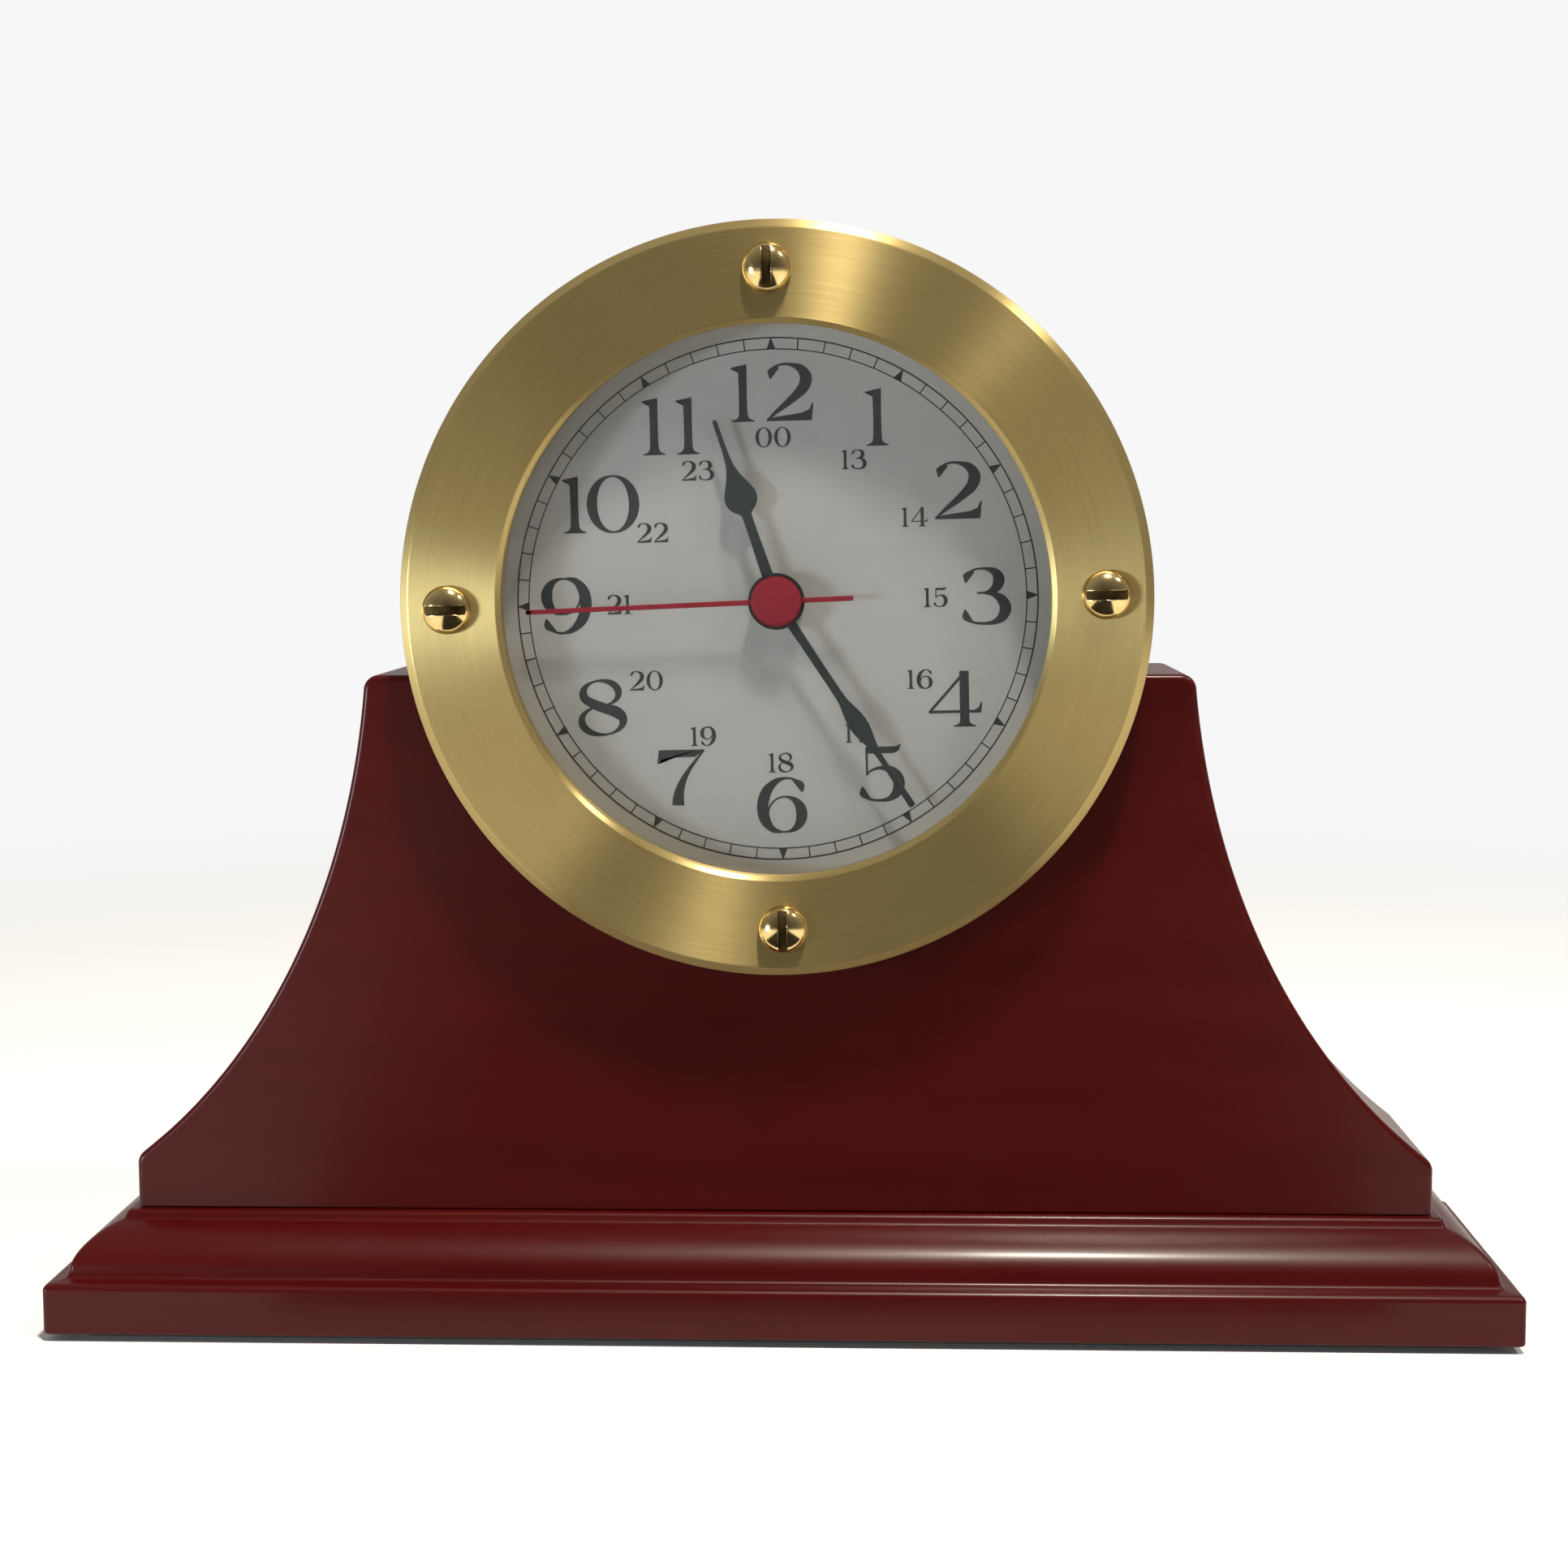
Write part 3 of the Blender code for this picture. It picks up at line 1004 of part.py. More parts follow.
def motor():
    """The stepping motor's stator, a soft iron plate whose core carries the coil."""
    rotor_x, rotor_y = pivots()["rotor"]
    height = rotor_y
    room = MOVEMENT_TOP - MOVEMENT_WALL - rotor_y - ROTOR_RADIUS
    radius = COIL_SHARE * room
    core_half = CORE_SHARE * radius
    top = rotor_y + ROTOR_RADIUS + COIL_PLACE * room
    front = SECONDS_PLANE + ROTOR_LENGTH / 2 + STATOR_THICKNESS / 2
    back = front - STATOR_THICKNESS
    left = rotor_x - COIL_LENGTH / 2 - STATOR_REACH
    right = rotor_x + COIL_LENGTH / 2 + STATOR_REACH
    outer = [(left, top + core_half), (left, height - STATOR_ARM),
             (rotor_x - STATOR_POLE_HALF, height - STATOR_POLE_DROP),
             (rotor_x + STATOR_POLE_HALF, height - STATOR_POLE_DROP), (right, height - STATOR_ARM),
             (right, top + core_half)]
    window = [(left + STATOR_ARM, top - core_half), (right - STATOR_ARM, top - core_half),
              (right - STATOR_ARM, height + STATOR_POLE_TOP), (left + STATOR_ARM, height + STATOR_POLE_TOP)]
    bore = circle(ROTOR_RADIUS + ROTOR_AIR_GAP, SMALL_WHEEL_STEPS, (rotor_x, rotor_y))
    stator = flat_piece("stator", [outer, window, bore], back, front, STEEL)
    settle(place(stator, parent=AXIS))
    middle = (front + back) / 2
    coil = rod("coil", radius, -COIL_LENGTH / 2, COIL_LENGTH / 2, SMALL_WHEEL_STEPS, COPPER)
    place(coil, (rotor_x, top, middle), AXIS, (0.0, math.pi / 2, 0.0))
    low = (rotor_x - COIL_LENGTH, top - core_half - GAP, back - GAP)
    high = (rotor_x + COIL_LENGTH, top + core_half + GAP, front + GAP)
    core = place(box("coil_core_hole", low, high, helper=True), parent=AXIS)
    combine(coil, core, "DIFFERENCE")
    settle(coil)


def electronics():
    """Circuit board on the left of the wheel room, with its driver chip and crystal."""
    half = MOVEMENT_WIDTH / 2 - MOVEMENT_WALL - GAP
    top = MOVEMENT_TOP - MOVEMENT_WALL - GAP
    front = MOVEMENT_FLOOR - GAP
    back = front - BOARD_THICKNESS
    board_right = -half + BOARD_WIDTH
    board = box("circuit_board", (-half, PARTITION_TOP + GAP, back), (board_right, top, front), BOARD_GREEN)
    settle(place(board, parent=AXIS))
    chip_x = (board_right - half) / 2
    shape = ((0.0, 1.0), (0.5, 0.846), (0.875, 0.385), (1.0, 0.0), (0.0, 0.0))
    chip = [(out * CHIP_RADIUS, up * CHIP_HEIGHT) for out, up in shape]
    blob = turned("driver_chip", chip, 20, BLACK_PLASTIC)
    settle(place(blob, (chip_x, CHIP_PLACE * top, back - GAP), AXIS, (math.pi, 0.0, 0.0)))
    half_length = CRYSTAL_LENGTH / 2
    crystal = rod("quartz_crystal", CRYSTAL_RADIUS, -half_length, half_length, SMALL_STEPS, STEEL)
    place(crystal, (chip_x, CRYSTAL_PLACE * top, back - GAP - CRYSTAL_RADIUS), AXIS, (math.pi / 2, 0.0, 0.0))
    settle(crystal)


def main():
    base_plinth()
    base_screws()
    base_felt()
    upright()
    bezel()
    case_drum()
    bezel_screws()
    cradle_screws()
    glass_and_gasket()
    dial()
    dial_fastening()
    hour_hand()
    minute_hand()
    second_hand()
    movement_case()
    threaded_bushing()
    rear_cover()
    battery()
    battery_contacts()
    motion_work()
    going_train()
    motor()
    electronics()


main()
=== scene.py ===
"""Looks of a ship's deck clock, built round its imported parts.

Millimetres are used for sizes and turned into metres by MM. Most of the clock is worked out in
its face frame: x to the right, y up and h towards the viewer, from the dial's centre line at the
front of the wooden stand. FaceFrame turns such points into world points.
"""

import logging
import math
from dataclasses import dataclass, field
from enum import Enum
from typing import Sequence, Union

import bmesh
import bpy
import numpy as np
from mathutils import Matrix, Vector


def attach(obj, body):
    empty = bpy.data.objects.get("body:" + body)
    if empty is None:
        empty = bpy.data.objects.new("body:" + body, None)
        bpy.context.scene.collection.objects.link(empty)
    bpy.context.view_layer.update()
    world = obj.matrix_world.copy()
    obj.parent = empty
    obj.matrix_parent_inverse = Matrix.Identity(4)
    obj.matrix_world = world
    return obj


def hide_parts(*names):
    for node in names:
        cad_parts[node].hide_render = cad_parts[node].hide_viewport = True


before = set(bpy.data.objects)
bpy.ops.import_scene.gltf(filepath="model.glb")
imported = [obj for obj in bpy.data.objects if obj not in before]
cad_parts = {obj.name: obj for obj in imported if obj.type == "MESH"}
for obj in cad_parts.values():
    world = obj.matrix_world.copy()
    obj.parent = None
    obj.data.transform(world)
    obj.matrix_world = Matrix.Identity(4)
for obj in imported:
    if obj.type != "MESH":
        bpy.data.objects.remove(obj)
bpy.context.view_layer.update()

logging.basicConfig(level=logging.INFO, format="%(message)s")
LOG = logging.getLogger("deck_clock")

MM = 0.001
SHARP = 35.0
Points = np.ndarray
Colour = tuple[float, float, float]
Value = Union[float, Sequence[float], bpy.types.NodeSocket]
Inputs = dict[Union[str, int], Value]


class Body(Enum):
    """Bodies that the new pieces ride on."""

    STAND = "clock_and_stand"
    HOURS = "hour_group"
    MINUTES = "minute_group"
    SECONDS = "seconds_group"
    KNOB = "knob_group"


# Frames and meshes.


@dataclass(frozen=True)
class FaceFrame:
    """The dial's own frame: its centre in the stand's front plane, turned a little anticlockwise."""

    axis_height: float = 149.8
    front: float = -22.2
    turn: float = math.radians(1.2)

    def world(self, points: Points) -> Points:
        """Turns face points (x, y, h) in millimetres into world points in metres.

        Args:
            points: Array of shape (n, 3), in millimetres.

        Returns:
            World points in metres: x and y turned by the case's small angle, h towards the viewer.
        """
        cos, sin = math.cos(self.turn), math.sin(self.turn)
        x, y, h = points[:, 0], points[:, 1], points[:, 2]
        across = x * cos - y * sin
        height = self.axis_height + x * sin + y * cos
        return np.stack([across, self.front - h, height], axis=1) * MM

    def centre(self) -> tuple[float, float, float]:
        """The dial's centre in world metres."""
        return (0.0, self.front * MM, self.axis_height * MM)


FACE = FaceFrame()


def grid_faces(rows: int, columns: int, wrap_rows: bool, wrap_columns: bool) -> np.ndarray:
    """Quads of a grid of points laid out row by row.

    Args:
        rows: Number of rows of points.
        columns: Number of points in a row.
        wrap_rows: Whether the last row joins the first.
        wrap_columns: Whether the last point of a row joins its first.

    Returns:
        Array of point numbers, four for each quad.
    """
    down = np.arange(rows if wrap_rows else rows - 1)
    along = np.arange(columns if wrap_columns else columns - 1)
    first, second = np.meshgrid(down, along, indexing="ij")
    next_row = (first + 1) % rows
    next_column = (second + 1) % columns
    quads = [first * columns + second, first * columns + next_column,
             next_row * columns + next_column, next_row * columns + second]
    return np.stack([q.ravel() for q in quads], axis=1)


def tube_faces(rows: int, columns: int, closed: bool = False, first: int = 0) -> list[list[int]]:
    """Quads between rings of points, with a flat face at each end unless the rings close.

    Args:
        rows: Number of rings.
        columns: Number of points in a ring.
        closed: Whether the last ring joins the first.
        first: Number of the first point.

    Returns:
        Point numbers of each face.
    """
    faces = (grid_faces(rows, columns, closed, True) + first).tolist()
    if not closed:
        last = first + columns * (rows - 1)
        faces += [list(range(first, first + columns)), list(range(last, last + columns))]
    return faces


def put(name: str, data: bpy.types.ID) -> bpy.types.Object:
    """Adds an object at the origin for a mesh, a lamp or a camera.

    Args:
        name: Name of the object.
        data: What it shows.

    Returns:
        The new object.
    """
    obj = bpy.data.objects.new(name, data)
    bpy.context.scene.collection.objects.link(obj)
    return obj


def make_piece(name: str, points: Points, faces: Sequence[Sequence[int]],
               sharp: float = SHARP) -> bpy.types.Object:
    """Makes a closed piece with its faces outwards and its round surfaces smooth.

    Args:
        name: Name of the piece.
        points: World points in metres, of shape (n, 3).
        faces: Point numbers of each face.
        sharp: Angle in degrees above which an edge stays sharp.

    Returns:
        The new object, at the origin.
    """
    mesh = bpy.data.meshes.new(name)
    mesh.from_pydata(points.tolist(), [], [list(map(int, face)) for face in faces])
    bm = bmesh.new()
    bm.from_mesh(mesh)
    bmesh.ops.remove_doubles(bm, verts=bm.verts, dist=1e-7)
    bmesh.ops.dissolve_degenerate(bm, edges=bm.edges, dist=1e-8)
    bmesh.ops.recalc_face_normals(bm, faces=bm.faces)
    bm.to_mesh(mesh)
    bm.free()
    mesh.shade_smooth()
    mesh.set_sharp_from_angle(angle=math.radians(sharp))
    return put(name, mesh)


def settle(piece: bpy.types.Object, sharp: float = SHARP) -> bpy.types.Object:
    """Replaces a piece's mesh by what its modifiers make of it.

    Args:
        piece: The piece with its modifiers.
        sharp: Angle in degrees above which an edge stays sharp.

    Returns:
        The same piece, with no modifiers left.
    """
    bpy.context.view_layer.update()
    made = bpy.data.meshes.new_from_object(piece.evaluated_get(bpy.context.evaluated_depsgraph_get()))
    piece.modifiers.clear()
    piece.data = made
    made.shade_smooth()
    made.set_sharp_from_angle(angle=math.radians(sharp))
    return piece


def cut(piece: bpy.types.Object, cutters: Sequence[bpy.types.Object],
        sharp: float = SHARP) -> bpy.types.Object:
    """Cuts other closed pieces out of one, and removes them.

    Args:
        piece: The piece to cut.
        cutters: Closed pieces that mark what goes.
        sharp: Angle in degrees above which an edge stays sharp.

    Returns:
        The cut piece.
    """
    for cutter in cutters:
        modifier = piece.modifiers.new(cutter.name, "BOOLEAN")
        modifier.object = cutter
        modifier.operation = "DIFFERENCE"
        modifier.solver = "EXACT"
    settle(piece, sharp)
    for cutter in cutters:
        bpy.data.objects.remove(cutter, do_unlink=True)
    return piece


def rounded(piece: bpy.types.Object, radius: float, angle: float) -> bpy.types.Object:
    """Rounds a piece's sharp edges in two steps.

    Args:
        piece: The piece.
        radius: Radius of the rounded edges, in millimetres.
        angle: Angle in degrees above which an edge is rounded.

    Returns:
        The same piece.
    """
    bevel = piece.modifiers.new("edges", "BEVEL")
    bevel.width = radius * MM
    bevel.segments = 2
    bevel.limit_method = "ANGLE"
    bevel.angle_limit = math.radians(angle)
    return settle(piece, 50.0)


def joined(name: str, parts: Sequence[bpy.types.Object]) -> bpy.types.Object:
    """Puts several closed meshes into one piece.

    Args:
        name: Name of the piece.
        parts: Objects to put together. They are removed.

    Returns:
        The new object.
    """
    bm = bmesh.new()
    for part in parts:
        bm.from_mesh(part.data)
    mesh = bpy.data.meshes.new(name)
    bm.to_mesh(mesh)
    bm.free()
    for part in parts:
        bpy.data.objects.remove(part, do_unlink=True)
    return put(name, mesh)


def arc(centre: tuple[float, float], radius: float, start: float, end: float, steps: int) -> Points:
    """Points of a circle's arc, both ends included: the centre plus radius times (cos a, sin a).

    Args:
        centre: The circle's centre.
        radius: Its radius.
        start: First angle in degrees, from +x towards +y.
        end: Last angle in degrees.
        steps: Number of steps.

    Returns:
        Array of shape (steps + 1, 2).
    """
    angles = np.radians(np.linspace(start, end, steps + 1))
    return np.stack([centre[0] + radius * np.cos(angles), centre[1] + radius * np.sin(angles)], axis=1)


def cubic(handles: Sequence[tuple[float, float]], steps: int) -> Points:
    """Points of a cubic Bezier curve: the four handles weighed by the Bernstein polynomials.

    Args:
        handles: Start, two handles and end.
        steps: Number of steps.

    Returns:
        Array of shape (steps + 1, 2).
    """
    t = np.linspace(0.0, 1.0, steps + 1)[:, None]
    weights = np.concatenate([(1 - t) ** 3, 3 * t * (1 - t) ** 2, 3 * t**2 * (1 - t), t**3], axis=1)
    return weights @ np.array(handles)


def smooth_through(controls: Points, steps: int, closed: bool = False) -> Points:
    """A Catmull-Rom curve through control points of any dimension.

    Between two neighbours b and c of a, b, c, d, the point at share t is half of
    2b + (c - a)t + (2a - 5b + 4c - d)t^2 + (3b - a - 3c + d)t^3.

    Args:
        controls: Array of shape (n, k).
        steps: Steps between neighbours.
        closed: Whether the curve joins its own start.

    Returns:
        Array of shape (m, k), without a repeated end point when closed.
    """
    if closed:
        padded = np.concatenate([controls[-1:], controls, controls[:2]])
    else:
        padded = np.concatenate([2 * controls[:1] - controls[1:2], controls,
                                 2 * controls[-1:] - controls[-2:-1]])
    t = (np.arange(steps) / steps)[None, :, None]
    a, b, c, d = (padded[i:len(padded) - 3 + i][:, None, :] for i in range(4))
    made = 0.5 * (2 * b + (c - a) * t + (2 * a - 5 * b + 4 * c - d) * t**2 + (3 * b - a - 3 * c + d) * t**3)
    made = made.reshape(-1, controls.shape[1])
    return made if closed else np.concatenate([made, controls[-1:]])


def turned(profile: Points, steps: int, centre: tuple[float, float]) -> Points:
    """A profile carried round an axis: (r, t) goes to (centre + r cos a, centre + r sin a, t).

    Args:
        profile: Points (radius, place along the axis).
        steps: Steps round the axis.
        centre: Where the axis stands.

    Returns:
        Array of shape (n steps, 3), ring by ring.
    """
    angles = np.linspace(0.0, 2 * np.pi, steps, endpoint=False)
    x = centre[0] + profile[:, :1] * np.cos(angles)
    y = centre[1] + profile[:, :1] * np.sin(angles)
    return np.stack([x, y, np.broadcast_to(profile[:, 1:], x.shape)], axis=2).reshape(-1, 3)


def sideways(path: Points, closed: bool) -> Points:
    """A flat path's unit normals: the way between its neighbouring points, a quarter turn left.

    Args:
        path: Points of shape (n, 2).
        closed: Whether the path joins its own start.

    Returns:
        Array of shape (n, 2).
    """
    if closed:
        along = np.roll(path, -1, axis=0) - np.roll(path, 1, axis=0)
    else:
        along = np.gradient(path, axis=0)
    along = along / np.maximum(np.linalg.norm(along, axis=1, keepdims=True), 1e-9)
    return np.stack([-along[:, 1], along[:, 0]], axis=1)


def lathe(name: str, profile: Points, steps: int = 128, centre: tuple[float, float] = (0.0, 0.0),
          sharp: float = SHARP) -> bpy.types.Object:
    """A turned piece on an axis along h.

    Args:
        name: Name of the piece.
        profile: Closed profile of (radius, h) points in millimetres. Points on the axis make poles.
        steps: Steps round the axis.
        centre: Where the axis stands on the face, in millimetres.
        sharp: Angle in degrees above which an edge stays sharp.

    Returns:
        The turned piece.
    """
    points = FACE.world(turned(profile, steps, centre))
    return make_piece(name, points, grid_faces(len(profile), steps, True, True), sharp)


def upright_lathe(name: str, profile: Points, steps: int = 48,
                  centre: tuple[float, float] = (0.0, 0.0)) -> bpy.types.Object:
    """A turned piece on a vertical axis.

    Args:
        name: Name of the piece.
        profile: Closed profile of (radius, z) points in millimetres.
        steps: Steps round the axis.
        centre: Where the axis stands, in millimetres.

    Returns:
        The turned piece.
    """
    return make_piece(name, turned(profile, steps, centre) * MM, grid_faces(len(profile), steps, True, True))


def ribbon(name: str, path: Points, widths: Points, low: float, high: float, edge: float = 0.0,
           closed: bool = False, sharp: float = 40.0) -> bpy.types.Object:
    """A flat strip on the face: a six-sided section carried along a path.

    The section stands across the path. Its sides are half the width out, and its upper corners are
    cut back by edge, so the outline is path plus or minus width / 2 times the path's normal.

    Args:
        name: Name of the piece.
        path: Centre line on the face, of shape (n, 2), in millimetres.
        widths: Full width at each point.
        low: Height of the underside.
        high: Height of the top.
        edge: Size of the bevel along the upper edges.
        closed: Whether the strip joins its own start.
        sharp: Angle in degrees above which an edge stays sharp.

    Returns:
        The strip, closed at its ends by flat caps.
    """
    across = sideways(path, closed)
    half = widths / 2
    inner = np.maximum(half - edge, 0.15 * half)
    outs = np.stack([half, half, inner, -inner, -half, -half], axis=1)
    heights = np.array([low, high - edge, high, high, high - edge, low])
    flat = path[:, None, :] + outs[:, :, None] * across[:, None, :]
    tall = np.broadcast_to(heights[None, :, None], flat.shape[:2] + (1,))
    points = np.concatenate([flat, tall], axis=2).reshape(-1, 3)
    faces = tube_faces(len(path), 6, closed)
    if not closed:
        faces[-2].reverse()
    return make_piece(name, FACE.world(points), faces, sharp)


def wear(piece: bpy.types.Object, material: bpy.types.Material, slot: str, *nodes: str,
         body: Body = Body.STAND) -> bpy.types.Object:
    """Gives a new piece its finish and the body it rides on, and hides the CAD nodes it stands for.

    Args:
        piece: The new piece.
        material: Its finish.
        slot: The record's material slot. Not used.
        *nodes: CAD nodes it replaces.
        body: The body it moves with.

    Returns:
        The same piece.
    """
    piece.data.materials.clear()
    piece.data.materials.append(material)
    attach(piece, body.value)
    if nodes:
        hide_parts(*nodes)
    LOG.info("%s: %d faces, rides on %s", piece.name, len(piece.data.polygons), body.value)
    return piece


def dress(node: str, material: bpy.types.Material) -> None:
    """Gives a CAD node its finish through its object's slots.

    Args:
        node: Name of the CAD node.
        material: The finish.
    """
    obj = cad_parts[node]
    if not obj.material_slots:
        obj.data.materials.append(material)
    for place in obj.material_slots:
        place.link = "OBJECT"
        place.material = material
    LOG.info("%s: dressed in %s", node, material.name)


def softened(node: str, name: str, radius: float, angle: float = 30.0) -> bpy.types.Object:
    """A copy of a CAD node with its doubles merged and its sharp edges rounded.

    Args:
        node: Name of the CAD node.
        name: Name of the new piece.
        radius: Radius of the rounded edges, in millimetres.
        angle: Angle in degrees above which an edge is rounded.

    Returns:
        The new piece, at the origin.
    """
    bm = bmesh.new()
    bm.from_mesh(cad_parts[node].data)
    bmesh.ops.remove_doubles(bm, verts=bm.verts, dist=1e-6)
    bmesh.ops.dissolve_limit(bm, angle_limit=math.radians(2.0), verts=bm.verts, edges=bm.edges)
    mesh = bpy.data.meshes.new(name)
    bm.to_mesh(mesh)
    bm.free()
    return rounded(put(name, mesh), radius, angle)


# Finishes.


@dataclass
class Nodes:
    """A node tree that is filled by short calls."""

    tree: bpy.types.NodeTree

    def add(self, kind: str, inputs: Inputs | None = None, **settings: object) -> bpy.types.Node:
        """Adds a node.

        Args:
            kind: Blender's name of the node type.
            inputs: Values or sockets by input name or number.
            **settings: The node's own properties.

        Returns:
            The node.
        """
        node = self.tree.nodes.new(kind)
        for key, value in settings.items():
            setattr(node, key, value)
        for key, value in (inputs or {}).items():
            self.feed(node.inputs[key], value)
        return node

    def feed(self, socket: bpy.types.NodeSocket, value: Value) -> None:
        """Sets a socket to a value, or links another socket to it.

        Args:
            socket: The input.
            value: A number, several numbers, or an output.
        """
        if isinstance(value, bpy.types.NodeSocket):
            self.tree.links.new(value, socket)
        else:
            socket.default_value = value

    def mix(self, share: Value, first: bpy.types.Node, second: bpy.types.Node) -> bpy.types.NodeSocket:
        """Mixes two shaders.

        Args:
            share: Share of the second.
            first: The shader at 0.
            second: The shader at 1.

        Returns:
            The mixed shader.
        """
        inputs = {0: share, 1: first.outputs[0], 2: second.outputs[0]}
        return self.add("ShaderNodeMixShader", inputs).outputs["Shader"]


class Recipe(Nodes):
    """Nodes of one material, with short calls for the nodes that the finishes share."""

    def __init__(self, name: str) -> None:
        """Starts a material with its Principled shader.

        Args:
            name: Name of the material.
        """
        self.material = bpy.data.materials.new(name)
        self.material.use_nodes = True
        super().__init__(self.material.node_tree)
        self.shader = self.tree.nodes["Principled BSDF"]
        self.place = self.add("ShaderNodeTexCoord").outputs["Object"]

    def set(self, **values: Value) -> None:
        """Sets the shader's inputs. An underscore stands for a space in a name.

        Args:
            **values: Values or sockets by input name.
        """
        for key, value in values.items():
            if isinstance(value, tuple) and len(value) == 3 and "Color" in key:
                value = (*value, 1.0)
            self.feed(self.shader.inputs[key.replace("_", " ")], value)

    def scaled(self, stretch: tuple[float, float, float]) -> bpy.types.NodeSocket:
        """Object coordinates multiplied along each axis.

        Args:
            stretch: Factor for x, y and z.

        Returns:
            The stretched coordinates.
        """
        return self.add("ShaderNodeMapping", {"Vector": self.place, "Scale": stretch}).outputs["Vector"]

    def noise(self, vector: bpy.types.NodeSocket, scale: float, detail: float = 3.0,
              rough: float = 0.5) -> bpy.types.NodeSocket:
        """Fractal noise from 0 to 1.

        Args:
            vector: Coordinates.
            scale: Features for each unit of the coordinates.
            detail: Number of octaves.
            rough: Share of the finer octaves.

        Returns:
            The noise.
        """
        inputs = {"Vector": vector, "Scale": scale, "Detail": detail, "Roughness": rough}
        return self.add("ShaderNodeTexNoise", inputs).outputs["Fac"]

    def ramp(self, share: bpy.types.NodeSocket,
             stops: Sequence[tuple[float, Colour]]) -> bpy.types.NodeSocket:
        """A colour ramp.

        Args:
            share: Where on the ramp.
            stops: Places and colours, two or more.

        Returns:
            The colour.
        """
        node = self.add("ShaderNodeValToRGB", {"Fac": share})
        elements = node.color_ramp.elements
        while len(elements) < len(stops):
            elements.new(0.5)
        for element, (position, colour) in zip(elements, stops):
            element.position = position
            element.color = (*colour, 1.0)
        return node.outputs["Color"]

    def between(self, share: bpy.types.NodeSocket, low: float, high: float) -> bpy.types.NodeSocket:
        """Carries 0 to 1 onto a range of numbers.

        Args:
            share: The number from 0 to 1.
            low: Result at 0.
            high: Result at 1.

        Returns:
            The number in the range.
        """
        inputs = {"Value": share, "To Min": low, "To Max": high}
        return self.add("ShaderNodeMapRange", inputs).outputs["Result"]

    def calc(self, operation: str, first: Value, second: Value = 0.0) -> bpy.types.NodeSocket:
        """One sum of two numbers.

        Args:
            operation: Name of the sum, such as MULTIPLY.
            first: First number.
            second: Second number.

        Returns:
            The result.
        """
        return self.add("ShaderNodeMath", {0: first, 1: second}, operation=operation).outputs["Value"]

    def blend(self, first: Value, second: Value, share: float) -> bpy.types.NodeSocket:
        """Two numbers weighed against each other: share times the first and the rest of the second.

        Args:
            first: First number.
            second: Second number.
            share: Share of the first.

        Returns:
            The weighed sum.
        """
        rest = self.calc("MULTIPLY", second, 1.0 - share)
        return self.calc("ADD", self.calc("MULTIPLY", first, share), rest)

    def vector(self, operation: str, first: Value, second: Value) -> bpy.types.Node:
        """One sum of two vectors.

        Args:
            operation: Name of the sum, such as CROSS_PRODUCT.
            first: First vector.
            second: Second vector.

        Returns:
            The node, whose outputs are Vector and Value.
        """
        return self.add("ShaderNodeVectorMath", {0: first, 1: second}, operation=operation)

    def bump(self, height: bpy.types.NodeSocket, strength: float, depth: float) -> None:
        """Leads a height into the shader's normal.

        Args:
            height: The height from 0 to 1.
            strength: Strength of the bump.
            depth: Its real depth, in millimetres.
        """
        node = self.add("ShaderNodeBump", {"Height": height, "Strength": strength, "Distance": depth * MM})
        self.feed(self.shader.inputs["Normal"], node.outputs["Normal"])


@dataclass(frozen=True)
class LacqueredCherry:
    """Dark cherry stain under satin lacquer, with a faint grain along the board."""

    name: str = "lacquered_cherry"
    deep: Colour = (0.040, 0.0006, 0.0005)
    warm: Colour = (0.052, 0.0014, 0.0010)
    sheen_roughness: float = 0.33
    grain: tuple[float, float, float] = (1.0, 6.0, 9.0)

    def make(self) -> bpy.types.Material:
        """Stretched noise for the grain, fine pores and a slight waviness in the lacquer."""
        recipe = Recipe(self.name)
        stretched = recipe.scaled(self.grain)
        figure = recipe.noise(stretched, 9.0, 5.0, 0.62)
        pores = recipe.noise(recipe.scaled((12.0, 160.0, 160.0)), 14.0, 2.0)
        tone = recipe.blend(figure, pores, 0.8)
        colour = recipe.ramp(tone, [(0.32, self.deep), (0.68, self.warm)])
        gloss = recipe.between(recipe.noise(recipe.place, 45.0, 3.0), self.sheen_roughness - 0.05,
                               self.sheen_roughness + 0.06)
        recipe.set(Base_Color=colour, Roughness=gloss, Specular_IOR_Level=0.15, Coat_Weight=0.14,
                   Coat_Roughness=0.17, Coat_IOR=1.45)
        peel = recipe.noise(recipe.place, 700.0, 2.0)
        recipe.bump(recipe.calc("ADD", peel, recipe.calc("MULTIPLY", pores, 0.35)), 0.12, 0.05)
        return recipe.material


